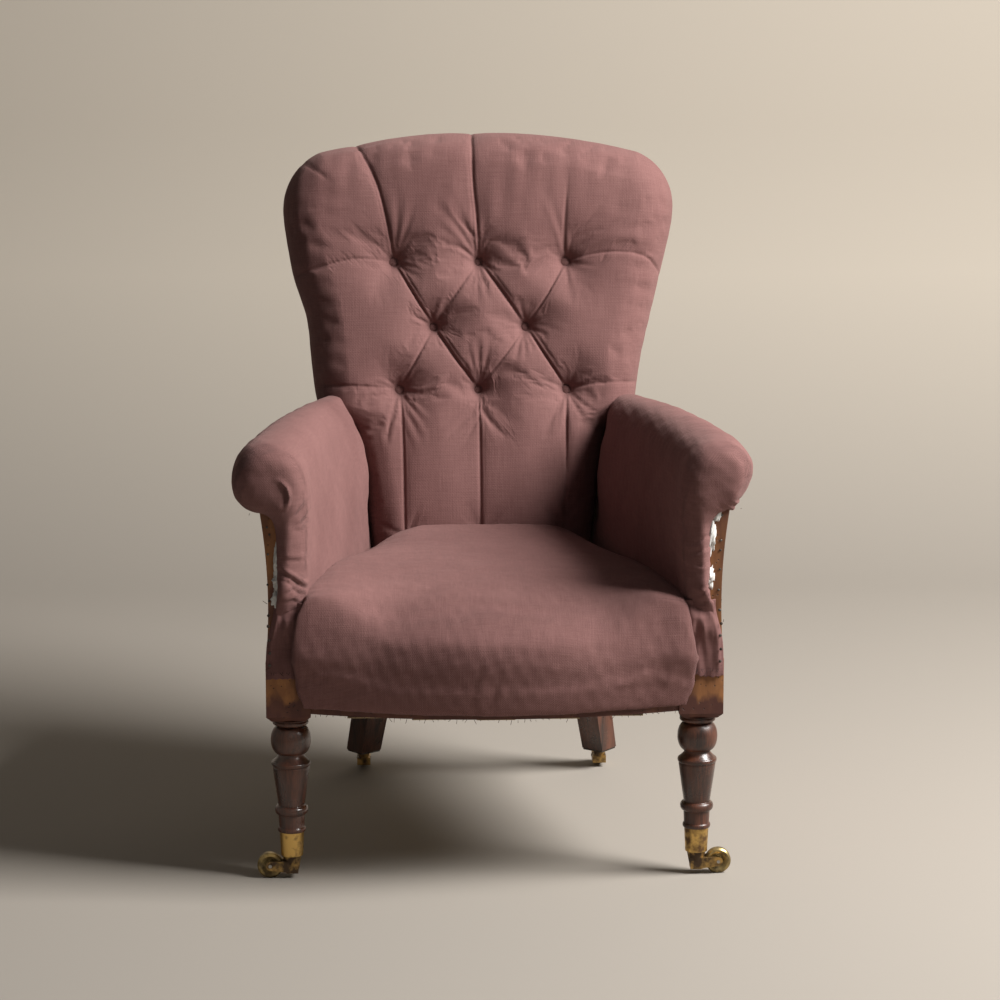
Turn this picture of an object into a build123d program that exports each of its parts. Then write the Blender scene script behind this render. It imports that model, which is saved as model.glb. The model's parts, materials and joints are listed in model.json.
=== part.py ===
from build123d import *
import os
from math import cos, radians, sin, tan

# Spoon-back armchair in its undercloth: turned front legs, raked rear legs, four castors.
# Millimetres. X runs to the sitter's left, Y to the rear of the chair, Z up.
# Pieces are placed from the line between the front leg axes, then the whole chair is centred.
# Pieces that come in pairs are drawn on the sitter's left and mirrored.

# Fits and cuts shared by all pieces
running_gap = 0.06  # radial clearance of a pin that turns
end_float = 0.3  # axial play of a castor piece
cloth_gap = 0.2  # between the cloths and pads of an arm
overrun = 5.0  # how far a cutting shape runs past what it cuts

# Seat frame
leg_half_span = 268.0  # front leg axis from the centre line; what reaches or insets does so from it
rail_bottom = 228.0
rail_height = 70.0
rail_thickness = 30.0
tenon_length = 20.0
tenon_thickness = 11.0
tenon_shoulder = 12.0  # wood left above and below each tenon
front_bow = 40.0  # how far the front rail bows forward
front_rail_setback = 4.0  # its ends behind the front face of the post
rear_rail_bow = 14.0
rear_half_span = 150.0  # rear leg axis at the seat rails
rear_leg_y = 490.0

# Front post: the square block over the leg, and the arm stump that grows out of it
block_width = 58.0
block_depth = 56.0
block_drop = 11.0  # below the rails
block_bevel = 7.0
stump_depth = 34.0
stump_inset = 4.0  # inner face of the stump inside the leg axis
stump_reach = 31.0  # its outer face outside the leg axis
stump_waist = 4.0  # how far its outer edge hollows
stump_flare = 5.0
scroll_radius = 32.0
scroll_reach = 24.0
scroll_z = 535.0

# Turned front leg: heights and radii of its members, from the castor cup up
cup_top = 63.0
ankle_radius = 16.6
ankle_bead_radius = 18.2
ankle_bead_height = 7.0
ring_bottom = 84.0
ring_height = 14.0
ring_root_radius = 17.6
ring_radius = 21.6
taper_top = 152.0
taper_top_radius = 24.4
collar_radius = 25.8
collar_height = 11.0
collar_top_radius = 20.5
neck_radius = 17.0
neck_height = 7.0
bun_height = 37.0
bun_radius = 26.0
bun_root_radius = 18.0
flange_neck_radius = 20.5
flange_neck_height = 6.5
flange_radius = 24.0
bead_slope_share = 0.28  # of a bead's height
top_spigot_radius = 11.0
top_spigot_length = 20.0

# Rear leg, sawn with the back stile as one piece
foot_half_span = 175.0
foot_y = 539.0
foot_side = 36.0
knee_side = 39.0
hip_side = 42.0
foot_turn = 52.0  # degrees that the square leg is turned in plan
knee_height = 120.0
knee_share = 0.42  # of the way from hip to foot in plan, at the knee

# Back frame, in its own raked plane: u across, v up the rake, w towards the sitter
back_rake = 14.3  # degrees
frame_thickness = 32.0
stile_width = 38.0
hip_half = 167.0  # outer edge of the frame at the seat rail
arm_half, arm_v = 212.0, 290.0
crest_v = 709.0
waist_half, waist_share = 233.0, 0.272  # each share is of the way from the arm to the crest
chest_half, chest_share = 256.0, 0.568
shoulder_half, shoulder_share = 272.0, 0.7685
corner_half, corner_share = 228.0, 0.931
crest_joint_share = 0.68
tail_v = 60.0  # how far the outline runs below the seat rail before it is trimmed
tongue_width = 24.0  # loose tongues between the stiles and the crest
tongue_thickness = 10.0
tongue_length = 50.0
lower_rail_v = 165.0
lower_rail_height = 36.0
lower_rail_thickness = 24.0

# Arm frame
arm_rail_width = 28.0
arm_rail_height = 40.0
arm_rail_bottom = 496.0
arm_rail_reach = 18.0
arm_rail_rear_x = 195.0
tack_rail_width = 20.0
tack_rail_height = 26.0
tack_rail_bottom = 330.0
tack_rail_reach = 14.0
tack_rail_rear_x = 164.0
arm_tenon_length = 16.0
arm_tenon_thickness = 9.0
arm_tenon_shoulder = 7.0

# Corner blocks and their screws
corner_block_leg = 120.0
corner_block_height = 44.0
corner_block_lift = 10.0  # above the underside of the rails
corner_vertex_x = 185.0  # rear block's square corner, inside the joint
screw_radius = 2.4
screw_length = 62.0
screw_head_radius = 4.6
screw_head_height = 2.6
screw_sides = 6

# Webbing and hessian
web_width = 50.0
web_thickness = 1.5
web_margin = 9.0  # bare wood outside the web ends
hessian_thickness = 1.2
seat_web_count = 5
seat_web_pitch = 84.0
seat_cross_web_count = 5
seat_cross_web_pitch = 88.0
seat_cross_web_first = 30.0
back_web_count = 3
back_web_pitch = 96.0
back_cross_web_count = 4
back_cross_web_first = 235.0
back_cross_web_last_share = 0.7135
arm_web_count = 3
arm_web_pitch = 130.0
arm_web_first = 105.0

# Seat springs, with the rows of webs that they stand on
spring_radius = 36.0
spring_waist = 24.0
spring_sides = 12
spring_pitch = 126.0
spring_row_counts = (3, 3, 2)
spring_row_web_count = 2  # webs from one row of springs to the next

# Seat pad, stacked in level slices
seat_front_cover = 22.0  # stuffing in front of the front rail
seat_side_reach = 5.0
seat_rear_half = 152.0
seat_rear_y = 458.0
seat_front_sag = 46.0  # bow of its front edge
seat_apron_bottom = 231.0
seat_crown = 393.0
seat_corner_radius = 26.0
seat_front_draw = 260.0  # how far the top slice is set back
seat_rise_shares = (0.0, 0.2, 0.42, 0.6, 0.74, 0.84, 0.91, 0.955, 0.985, 1.0)
seat_draw_shares = (0.023, 0.0, 0.008, 0.04, 0.1, 0.18, 0.29, 0.42, 0.6, 0.86)
seat_width_shares = (0.975, 1.0, 1.0, 0.998, 0.99, 0.965, 0.9, 0.78, 0.58, 0.3)

# Arm pads: a round roll on top of the arm rail, and a facing that runs down inside it
roll_reach, roll_front_z = 25.0, 541.0
roll_rear_x, roll_rear_z = 203.0, 524.0
roll_front_radius = 50.0
roll_rear_radius = 41.0
roll_bow = 4.0  # how far the middle of the arm bows outwards
facing_inset = 27.0
facing_rear_x = 140.0
facing_height = 440.0
facing_foot_inset = 11.0
facing_foot_rear_x = 130.0
facing_foot_z = 318.0
facing_tack_reach = 23.0  # cloth edge on the face of the stump
roll_nose = 24.0  # stuffing in front of the post
nose_share = 0.62  # size of the roll's front cap
arm_stations = 5

# Back pad, in the raked plane of the back frame, stacked in slices towards the sitter
back_pad_depth = 84.0
back_edge_cover = 10.0  # beyond the outer edge of the frame
back_rise_shares = (0.0, 0.2, 0.42, 0.68, 0.88, 1.0)
back_edge_draw = 52.0
back_draw_shares = (0.12, 0.02, 0.0, 0.1, 0.42, 1.0)
back_pad_bottom_v = 92.0
arm_joint_v = 335.0  # under this the pad stays between the stiles
arm_joint_inset = 30.0
tuft_depth = 34.0
tuft_radius = 44.0
tuft_belly_share = 0.72  # of the tuft's depth, half way out
tuft_sides = 12
tuft_row_shares = (0.563, 0.3365, 0.119)
tuft_rows = ((-126.0, -3.0, 123.0), (-69.0, 64.0), (-119.0, -5.0, 123.0))
pleat_depth = 11.0
pleat_width = 15.0
button_radius = 9.0
button_height = 6.0
button_shoulder_share = 0.62  # of its height, under the dome
button_crown_share = 0.55  # of its radius, flat on top
tie_width = 2.4
toggle_width = 8.0
toggle_length = 26.0

# Front castors
front_wheel_radius = 17.0
front_wheel_width = 12.0
front_trail = 29.0
front_boss_tip = 8.0
front_boss_radius = 12.5
front_boss_top = 30.5
front_axle_radius = 2.2

# Rear castors
rear_wheel_radius = 12.5
rear_wheel_width = 12.0
rear_trail = 21.0
rear_boss_tip = 5.5
rear_boss_radius = 9.0
rear_boss_top = 27.0
rear_axle_radius = 2.0

# What both kinds of castor share
cheek_thickness = 3.0
cheek_gap = 0.8  # between wheel and cheek
cheek_tip_radius = 6.0
cheek_sides = 12
boss_foot_height = 7.0
axle_end = 1.0  # how far an axle stands out of its cheeks
tread_bevel = 2.2
wheel_web_share = 0.42  # of half the wheel's width
wheel_rim_share = 0.74  # of the wheel's radius
hub_share = 0.36  # of the wheel's radius
pivot_radius = 3.2
pivot_head_radius = 6.0
pivot_head_height = 2.2
cup_wall = 1.6
cup_floor = 3.0
cup_radius_low = 14.6
cup_radius_high = 16.1
head_room = 3.4
plate_side = 34.0
plate_thickness = 2.6
plate_screw_count = 4
plate_screw_inset = 6.0
plate_screw_radius = 2.0
plate_screw_length = 14.0

# Places that follow from the sizes above
rail_top = rail_bottom + rail_height
block_bottom = rail_bottom - block_drop
stump_inner = leg_half_span - stump_inset
stump_outer = leg_half_span + stump_reach
scroll_x = leg_half_span + scroll_reach
arm_rail_front_x = leg_half_span + arm_rail_reach
tack_rail_front_x = leg_half_span + tack_rail_reach
seat_side_half = leg_half_span + seat_side_reach
facing_front_x = leg_half_span - facing_inset
facing_foot_front_x = leg_half_span - facing_foot_inset
facing_tack_x = leg_half_span + facing_tack_reach
roll_front_x = leg_half_span + roll_reach
block_inner = stump_outer - block_width
block_x = stump_outer - block_width / 2
post_front = -block_depth / 2
stump_rear = post_front + stump_depth
front_rail_y = post_front + front_rail_setback
frame_face = frame_thickness / 2
front_cup_bottom = front_boss_top + end_float
spigot_bottom = front_cup_bottom + cup_floor + head_room
plate_bottom = rear_boss_top + end_float
foot_z = plate_bottom + plate_thickness
hessian_face = frame_face + 2 * web_thickness
pad_face = hessian_face + hessian_thickness
back_rise = crest_v - arm_v
waist_v = arm_v + waist_share * back_rise
chest_v = arm_v + chest_share * back_rise
shoulder_v = arm_v + shoulder_share * back_rise
corner_v = arm_v + corner_share * back_rise
crest_joint_v = arm_v + crest_joint_share * back_rise
back_cross_web_last = arm_v + back_cross_web_last_share * back_rise
raked = Plane(
    origin=(0, rear_leg_y, rail_bottom),
    x_dir=(1, 0, 0),
    z_dir=(0, -cos(radians(back_rake)), sin(radians(back_rake))),
).location


def mirrored(shape):
    """The same piece on the other side of the chair."""
    return mirror(shape, about=Plane.YZ)


def cross_plane(y):
    """A plane across the chair at y, with local x across and local y up."""
    return Plane(origin=(0, y, 0), x_dir=(1, 0, 0), z_dir=(0, -1, 0))


def largest(shape):
    """The biggest solid of a trimmed piece."""
    return shape.solids().sort_by(SortBy.VOLUME)[-1]


def cut(shape, tools):
    """A piece with every tool taken out of it."""
    for tool in tools:
        shape = shape - tool
    return shape


def tapered(base_radius, top_radius, height, sides):
    """A straight-sided cone with few sides, standing on the XY plane."""
    base = RegularPolygon(base_radius, sides)
    top = Pos(0, 0, height) * RegularPolygon(top_radius, sides)
    return loft([base.face(), top.face()], ruled=True)


def along(front, rear, y):
    """The point at y on the line through two (x, y, z) points."""
    share = (y - front[1]) / (rear[1] - front[1])
    return tuple(a + (b - a) * share for a, b in zip(front, rear))


def straight_bar(front, rear, width, height):
    """A bar between two (x, y, z) section centres, its ends parallel to the front of the chair."""
    ends = [cross_plane(y) * Pos(x, z) * Rectangle(width, height) for x, y, z in (front, rear)]
    return loft([end.face() for end in ends])


# Front leg and post


def bead(low, high, crown):
    """A moulding from one (radius, height) to the next, its crown a flat between two slopes."""
    slope = (high[1] - low[1]) * bead_slope_share
    return Polyline(low, (crown, low[1] + slope), (crown, high[1] - slope), high)


def turned_leg():
    """The leg's turned profile, spun round its own axis, with a spigot at each end."""
    spigot_high = cup_radius_high - cup_wall
    flare = (cup_radius_high - cup_radius_low) / (cup_top - front_cup_bottom - cup_floor)
    spigot_low = spigot_high - flare * (cup_top - spigot_bottom)
    ankle_top = cup_top + ankle_bead_height
    ring_top = ring_bottom + ring_height
    collar_top = taper_top + collar_height
    bun_bottom = collar_top + neck_height
    bun_top = bun_bottom + bun_height
    flange_bottom = bun_top + flange_neck_height
    top = block_bottom + top_spigot_length
    profile = [
        Polyline(
            (0, top),
            (0, spigot_bottom),
            (spigot_low, spigot_bottom),
            (spigot_high, cup_top),
            (ankle_radius, cup_top),
        ),
        bead((ankle_radius, cup_top), (ankle_radius, ankle_top), ankle_bead_radius),
        Polyline(
            (ankle_radius, ankle_top), (ankle_radius, ring_bottom), (ring_root_radius, ring_bottom)
        ),
        bead((ring_root_radius, ring_bottom), (ring_root_radius, ring_top), ring_radius),
        Line((ring_root_radius, ring_top), (taper_top_radius, taper_top)),
        bead((taper_top_radius, taper_top), (collar_top_radius, collar_top), collar_radius),
        Polyline(
            (collar_top_radius, collar_top),
            (neck_radius, (collar_top + bun_bottom) / 2),
            (neck_radius, bun_bottom),
            (bun_root_radius, bun_bottom),
        ),
        ThreePointArc(
            (bun_root_radius, bun_bottom),
            (bun_radius, (bun_bottom + bun_top) / 2),
            (flange_neck_radius, bun_top),
        ),
        Polyline(
            (flange_neck_radius, bun_top),
            (flange_neck_radius, flange_bottom),
            (flange_radius, flange_bottom),
            (flange_radius, block_bottom),
            (top_spigot_radius, block_bottom),
            (top_spigot_radius, top),
            (0, top),
        ),
    ]
    face = Plane.XZ * make_face(Curve() + profile)
    return Pos(leg_half_span, 0) * revolve(face, axis=Axis.Z)


def front_post():
    """The block with its bevelled foot, and the hollow-edged stump with its scroll head."""
    block = Pos(block_x, 0, (block_bottom + rail_top) / 2) * Box(
        block_width, block_depth, rail_top - block_bottom
    )
    block = chamfer(block.faces().sort_by(Axis.Z)[0].edges(), block_bevel)
    shoulder = rail_top + stump_inner - block_inner
    flare = (stump_outer + stump_flare, arm_rail_bottom)
    outline = [
        Polyline(
            (stump_outer, rail_top - overrun),
            (block_inner, rail_top - overrun),
            (block_inner, rail_top),
            (stump_inner, shoulder),
            (scroll_x - scroll_radius, scroll_z),
            (scroll_x + scroll_radius, scroll_z),
            flare,
        ),
        ThreePointArc(
            flare,
            (stump_outer - stump_waist, (rail_top + arm_rail_bottom) / 2),
            (stump_outer, rail_top - overrun),
        ),
    ]
    scroll = Pos(scroll_x, scroll_z) * Circle(scroll_radius)
    face = make_face(Curve() + outline) + scroll
    stump = extrude(cross_plane(stump_rear) * face, amount=stump_depth)
    socket = Pos(leg_half_span, 0, block_bottom + top_spigot_length / 2) * Cylinder(
        top_spigot_radius, top_spigot_length
    )
    return block + stump - socket


# Back frame and rear legs


def back_outline(grow, bottom_v):
    """The spoon outline, grow wider than the frame all round, down to bottom_v."""
    tail_half = hip_half + (arm_half - hip_half) * bottom_v / arm_v
    side = Spline(
        (tail_half + grow, bottom_v),
        (arm_half + grow, arm_v),
        (waist_half + grow, waist_v),
        (chest_half + grow, chest_v),
        (shoulder_half + grow, shoulder_v),
        tangents=((arm_half - hip_half, arm_v), (0, 1)),
    )
    shoulder = (shoulder_half + grow, shoulder_v)
    corner_grow = grow / 2 ** 0.5
    corner = (corner_half + corner_grow, corner_v + corner_grow)
    bend = TangentArc(shoulder, corner, tangent=(0, 1))
    crest = ThreePointArc(corner, (0, crest_v + grow), (-corner[0], corner[1]))
    foot = Line((-tail_half - grow, bottom_v), (tail_half + grow, bottom_v))
    other_side = [mirrored(side), mirrored(bend)]
    return make_face(Curve() + [side, bend, crest, foot] + other_side)


def back_ring():
    """The back frame's band of wood before it is cut into two stiles and a crest."""
    outer = back_outline(0, -tail_v)
    inner = back_outline(-stile_width, -tail_v - overrun)
    band = extrude(outer - inner, amount=frame_face, both=True)
    below = Pos(0, -tail_v) * Box(2 * (hip_half + overrun), 2 * tail_v, 2 * frame_thickness)
    return band - below


def frame_half_at(v):
    """Half the back frame's outer width at v, read from its outline."""
    strip = Pos(0, v) * Rectangle(4 * shoulder_half, overrun)
    return (back_outline(0, -tail_v) & strip).bounding_box().max.X


def rear_leg(ring):
    """The raked square leg, turned in plan, running up into the curved stile."""
    knee_x = rear_half_span + (foot_half_span - rear_half_span) * knee_share
    knee_y = rear_leg_y + (foot_y - rear_leg_y) * knee_share
    stations = (
        (foot_half_span, foot_y, foot_z, foot_side),
        (knee_x, knee_y, knee_height, knee_side),
        (rear_half_span, rear_leg_y, rail_bottom, hip_side),
    )
    sections = [
        Pos(x, y, z) * Rot(0, 0, foot_turn) * Rectangle(side, side) for x, y, z, side in stations
    ]
    leg = loft([section.face() for section in sections], ruled=True)
    hip = Pos(rear_half_span, rear_leg_y, rail_bottom + rail_height / 2)
    leg += hip * Rot(0, 0, foot_turn) * Box(hip_side, hip_side, rail_height)
    half = Pos(shoulder_half, crest_joint_v / 2) * Box(
        2 * shoulder_half, crest_joint_v, 2 * frame_thickness
    )
    return leg + raked * (ring & half)


def crest_rail(ring):
    """The arched top of the back frame, standing on the two stiles."""
    upper = Pos(0, crest_joint_v + crest_v / 2) * Box(
        4 * shoulder_half, crest_v, 2 * frame_thickness
    )
    return raked * (ring & upper)


def crest_tongues():
    """The loose tongue in the joint between each stile and the crest."""
    middle = frame_half_at(crest_joint_v) - stile_width / 2
    tongue = Box(tongue_width, tongue_length, tongue_thickness)
    return [raked * Pos(side * middle, crest_joint_v) * tongue for side in (-1, 1)]


def back_lower_rail(legs):
    """The rail low in the back that the webs and the stuffing are tacked to, and its tenon."""
    inner_half = frame_half_at(lower_rail_v) - stile_width
    place = raked * Pos(0, lower_rail_v)
    body = place * Box(2 * (inner_half + overrun), lower_rail_height, lower_rail_thickness)
    tenon = place * Box(
        2 * (inner_half + tenon_length),
        lower_rail_height - 2 * arm_tenon_shoulder,
        arm_tenon_thickness,
    )
    return largest(cut(body, legs)) + tenon, tenon


# Seat rails


def bowed_rail(front_y, bow, half):
    """A rail across the chair whose long faces are arcs, a positive bow going to the rear."""
    rear_y = front_y + rail_thickness
    outline = [
        ThreePointArc((-half, front_y), (0, front_y + bow), (half, front_y)),
        Line((half, front_y), (half, rear_y)),
        ThreePointArc((half, rear_y), (0, rear_y + bow), (-half, rear_y)),
        Line((-half, rear_y), (-half, front_y)),
    ]
    return extrude(Pos(0, 0, rail_bottom) * make_face(Curve() + outline), amount=rail_height)


def cross_tenons(joint_half, y):
    """The two tenons at the ends of a rail that runs across the chair."""
    tenon = Pos(joint_half, y, rail_bottom + rail_height / 2) * Box(
        2 * tenon_length, tenon_thickness, rail_height - 2 * tenon_shoulder
    )
    return [tenon, mirrored(tenon)]


def front_rail(posts):
    """The bowed front rail between the blocks, and its tenons."""
    rail = bowed_rail(front_rail_y, -front_bow, block_inner + overrun)
    tenons = cross_tenons(block_inner, front_rail_y + rail_thickness / 2)
    return largest(cut(rail, posts)) + tenons, tenons


def rear_rail(legs):
    """The rear seat rail, bowed gently to the rear between the raked legs, and its tenons."""
    rail = bowed_rail(rear_leg_y - rail_thickness / 2, rear_rail_bow, rear_half_span)
    tenons = cross_tenons(rear_half_span - hip_side / 2, rear_leg_y)
    return largest(cut(rail, legs)) + tenons, tenons


def lengthwise_rail(front, rear, width, height, shoulder, thickness, reach, stops):
    """A rail from the post to the rear leg or stile, trimmed to both, and its through tenon."""
    stop_y = rear[1] - thickness
    body = straight_bar(along(front, rear, front[1] - overrun), rear, width, height)
    tenon = straight_bar(
        along(front, rear, front[1] - reach),
        along(front, rear, stop_y),
        thickness,
        height - 2 * shoulder,
    )
    return largest(cut(body, stops)) + tenon, tenon


def side_rail(stops):
    """The side seat rail, which draws in towards the rear."""
    z = rail_bottom + rail_height / 2
    return lengthwise_rail(
        (block_x, block_depth / 2, z),
        (rear_half_span, rear_leg_y, z),
        rail_thickness,
        rail_height,
        tenon_shoulder,
        tenon_thickness,
        tenon_length,
        stops,
    )


def stile_y(z):
    """Where the middle of the back frame is at a height."""
    return rear_leg_y + (z - rail_bottom) * tan(radians(back_rake))


def arm_bar(front_x, rear_x, bottom, width, height, stops):
    """A rail of the arm frame, from the stump to the stile."""
    z = bottom + height / 2
    return lengthwise_rail(
        (front_x, stump_rear, z),
        (rear_x, stile_y(z), z),
        width,
        height,
        arm_tenon_shoulder,
        arm_tenon_thickness,
        arm_tenon_length,
        stops,
    )


def corner_block(x, y, rear, stops):
    """A three-cornered block fitted into a corner of the seat frame, and the screw through it."""
    turn = -1 if rear else 1
    leg = corner_block_leg
    face = make_face(Polyline((x, y), (x - leg, y), (x, y + turn * leg), close=True))
    base = Pos(0, 0, rail_bottom + corner_block_lift)
    block = largest(cut(base * extrude(face, amount=corner_block_height), stops))
    middle = Location((x - leg / 2, y + turn * leg / 2, rail_bottom + corner_block_lift))
    aim = Rot(0, 0, -45 * turn) * Rot(0, 90, 0)
    screw = tapered(screw_radius, screw_radius, screw_length, screw_sides)
    screw += Pos(0, 0, -screw_head_height) * tapered(
        screw_head_radius, screw_head_radius, screw_head_height, screw_sides
    )
    return block, middle * Pos(0, 0, corner_block_height / 2) * aim * screw


# Webbing, hessian and springs


def seat_plan(inset):
    """The seat frame's plan drawn in by inset, from the front rail's bow to the rear rail."""
    half = stump_outer - inset
    rear_half = rear_half_span + rail_thickness / 2 - inset
    front_y = front_rail_y + inset
    rear_y = rear_leg_y + rail_thickness / 2 - inset
    outline = [
        ThreePointArc((half, front_y), (0, front_y - front_bow), (-half, front_y)),
        Line((-half, front_y), (-rear_half, rear_y)),
        ThreePointArc((-rear_half, rear_y), (0, rear_y + rear_rail_bow), (rear_half, rear_y)),
        Line((rear_half, rear_y), (half, front_y)),
    ]
    return make_face(Curve() + outline)


def cross_web_ys():
    """Where the webs across the seat lie."""
    return [seat_cross_web_first + i * seat_cross_web_pitch for i in range(seat_cross_web_count)]


def seat_webs(stops):
    """Two layers of straps under the rails, the cross straps against the wood."""
    plan = seat_plan(web_margin)
    first = -(seat_web_count - 1) / 2
    lengthwise = [
        Pos((first + i) * seat_web_pitch, rear_leg_y / 2) * Rectangle(web_width, 2 * rear_leg_y)
        for i in range(seat_web_count)
    ]
    crosswise = [Pos(0, y) * Rectangle(4 * leg_half_span, web_width) for y in cross_web_ys()]
    straps = []
    for level, webs in enumerate((crosswise, lengthwise)):
        place = Pos(0, 0, rail_bottom - (level + 1) * web_thickness)
        for web in webs:
            strap = place * extrude(plan & web, amount=web_thickness)
            straps.append(largest(cut(strap, stops)))
    return straps


def seat_springs():
    """Hourglass springs on every other cross web, as high as the rails."""
    half = rail_height / 2
    spring = tapered(spring_radius, spring_waist, half, spring_sides)
    spring += Pos(0, 0, half) * tapered(spring_waist, spring_radius, half, spring_sides)
    springs = []
    for row, count in enumerate(spring_row_counts):
        y = cross_web_ys()[row * spring_row_web_count]
        for i in range(count):
            x = (i - (count - 1) / 2) * spring_pitch
            springs.append(Pos(x, y, rail_bottom) * spring)
    return springs


def seat_hessian(stops):
    """The hessian over the springs, tacked along the tops of the rails."""
    sheet = Pos(0, 0, rail_top) * extrude(seat_plan(web_margin), amount=hessian_thickness)
    return largest(cut(sheet, stops))


def back_panel():
    """The area that the back webs and hessian cover, from the lower rail to the crest."""
    bottom = lower_rail_v - lower_rail_height / 2 + web_margin
    return back_outline(-web_margin, bottom)


def back_webs():
    """Straps on the inside of the back frame: across first, then upright."""
    panel = back_panel()
    first = -(back_web_count - 1) / 2
    pitch = (back_cross_web_last - back_cross_web_first) / (back_cross_web_count - 1)
    across = [
        Pos(0, back_cross_web_first + i * pitch)
        * Rectangle(4 * shoulder_half, web_width)
        for i in range(back_cross_web_count)
    ]
    upright = [
        Pos((first + i) * back_web_pitch, crest_v / 2) * Rectangle(web_width, 2 * crest_v)
        for i in range(back_web_count)
    ]
    straps = []
    for level, webs in enumerate((across, upright)):
        place = raked * Pos(0, 0, frame_face + level * web_thickness)
        straps += [largest(place * extrude(panel & web, amount=web_thickness)) for web in webs]
    return straps


def rail_face(front_x, rear_x, bottom, width, height, y):
    """Where the inner face of an arm frame rail is at y."""
    rear_y = stile_y(bottom + height / 2)
    share = (y - stump_rear) / (rear_y - stump_rear)
    return front_x + (rear_x - front_x) * share - width / 2


def lining_x(y, z, lift):
    """Where the arm's lining is at y and z, lift inside the top edges of the two rails."""
    low_x = rail_face(
        tack_rail_front_x, tack_rail_rear_x, tack_rail_bottom, tack_rail_width, tack_rail_height, y
    )
    high_x = rail_face(
        arm_rail_front_x, arm_rail_rear_x, arm_rail_bottom, arm_rail_width, arm_rail_height, y
    )
    low_z = tack_rail_bottom + tack_rail_height
    high_z = arm_rail_bottom + arm_rail_height
    return low_x + (high_x - low_x) * (z - low_z) / (high_z - low_z) - lift


def arm_sheet(lift, thickness):
    """A flat sheet between the tack rail and the arm rail, lift inside their inner faces."""
    low_z, high_z = tack_rail_bottom, arm_rail_bottom + arm_rail_height
    faces = []
    for y in (stump_rear, stile_y(high_z)):
        low_x, high_x = lining_x(y, low_z, lift), lining_x(y, high_z, lift)
        outline = Polyline(
            (low_x, low_z),
            (high_x, high_z),
            (high_x - thickness, high_z),
            (low_x - thickness, low_z),
            close=True,
        )
        faces.append(cross_plane(y) * make_face(outline))
    return loft([face.face() for face in faces])


def arm_webs(stops):
    """Upright straps inside the arm frame."""
    sheet = arm_sheet(0, web_thickness)
    straps = []
    for i in range(arm_web_count):
        y = arm_web_first + i * arm_web_pitch
        slab = Pos(leg_half_span, y, arm_rail_bottom) * Box(
            2 * leg_half_span, web_width, 2 * arm_rail_bottom
        )
        straps.append(largest(cut(sheet & slab, stops)))
    return straps


# Pads


def seat_slice(rise, draw, width):
    """One level outline of the seat pad, with rounded corners."""
    front_y = front_rail_y - front_bow - seat_front_cover + draw
    corner_y = front_y + seat_front_sag * width
    half = seat_side_half * width
    rear_half = seat_rear_half * width
    outline = [
        ThreePointArc((half, corner_y), (0, front_y), (-half, corner_y)),
        Polyline(
            (-half, corner_y), (-rear_half, seat_rear_y), (rear_half, seat_rear_y), (half, corner_y)
        ),
    ]
    face = make_face(Curve() + outline)
    face = fillet(face.vertices(), seat_corner_radius)
    return Pos(0, 0, rise) * face


def seat_block():
    """The whole stuffed seat as one crowned form, before the frame is taken out of it."""
    height = seat_crown - seat_apron_bottom
    slices = [
        seat_slice(seat_apron_bottom + rise * height, draw * seat_front_draw, width)
        for rise, draw, width in zip(seat_rise_shares, seat_draw_shares, seat_width_shares)
    ]
    return loft([each.face() for each in slices], ruled=True)


def arm_section(share, size, y=None):
    """The arm's section at a share of its length: the roll, and the facing under it.

    Its back is tacked to the post in front, and lies on the lining where y is given.
    """
    bow = 4 * share * (1 - share)
    x = roll_front_x + (roll_rear_x - roll_front_x) * share + roll_bow * bow
    z = roll_front_z + (roll_rear_z - roll_front_z) * share
    radius = (roll_front_radius + (roll_rear_radius - roll_front_radius) * share) * size
    slant = radius / 2 ** 0.5
    belly = facing_front_x + (facing_rear_x - facing_front_x) * share + roll_bow * bow
    foot = facing_foot_front_x + (facing_foot_rear_x - facing_foot_front_x) * share
    facing_z = z + (facing_height - z) * size
    foot_z = z + (facing_foot_z - z) * size
    belly = x + (belly - x) * size
    foot = x + (foot - x) * size
    tack = (x, z - radius)
    back_low = back_high = facing_tack_x
    if y is not None:
        lift = web_thickness + hessian_thickness / 2
        back_low, back_high = lining_x(y, foot_z, lift), lining_x(y, z - radius, lift)
    return make_face(
        Curve()
        + [
            ThreePointArc((foot, foot_z), (belly, facing_z), (x - radius, z)),
            ThreePointArc((x - radius, z), (x - slant, z + slant), (x, z + radius)),
            ThreePointArc((x, z + radius), (x + slant, z + slant), (x + radius, z)),
            ThreePointArc((x + radius, z), (x + slant, z - slant), tack),
            Polyline(tack, (back_high, z - radius), (back_low, foot_z), (foot, foot_z)),
        ]
    )


def arm_block():
    """The whole stuffed arm, before the frame is taken out of it."""
    rear_y = stile_y(roll_rear_z)
    sections = []
    for i in range(arm_stations):
        share = i / (arm_stations - 1)
        y = stump_rear + (rear_y - stump_rear) * share
        sections.append(cross_plane(y) * arm_section(share, 1, y))
    arm = loft([section.face() for section in sections], ruled=True)
    nose_ys = (post_front - roll_nose, post_front - roll_nose / 2, post_front, stump_rear)
    nose_sizes = (nose_share, (1 + 2 * nose_share) / 3 + nose_share / 6, 1, 1)
    caps = [
        cross_plane(y) * arm_section(0, size)
        for y, size in zip(nose_ys, nose_sizes)
    ]
    return arm + loft([cap.face() for cap in caps], ruled=True)


def back_slice(w, grow):
    """One slice of the back pad, in the raked plane."""
    return Pos(0, 0, w) * back_outline(grow, back_pad_bottom_v)


def back_block():
    """The whole stuffed back in the raked plane, lapping over the frame's edge."""
    start = -frame_face
    depth = back_pad_depth - start
    slices = [
        back_slice(start + rise * depth, back_edge_cover - draw * back_edge_draw)
        for rise, draw in zip(back_rise_shares, back_draw_shares)
    ]
    return loft([each.face() for each in slices], ruled=True)


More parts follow.
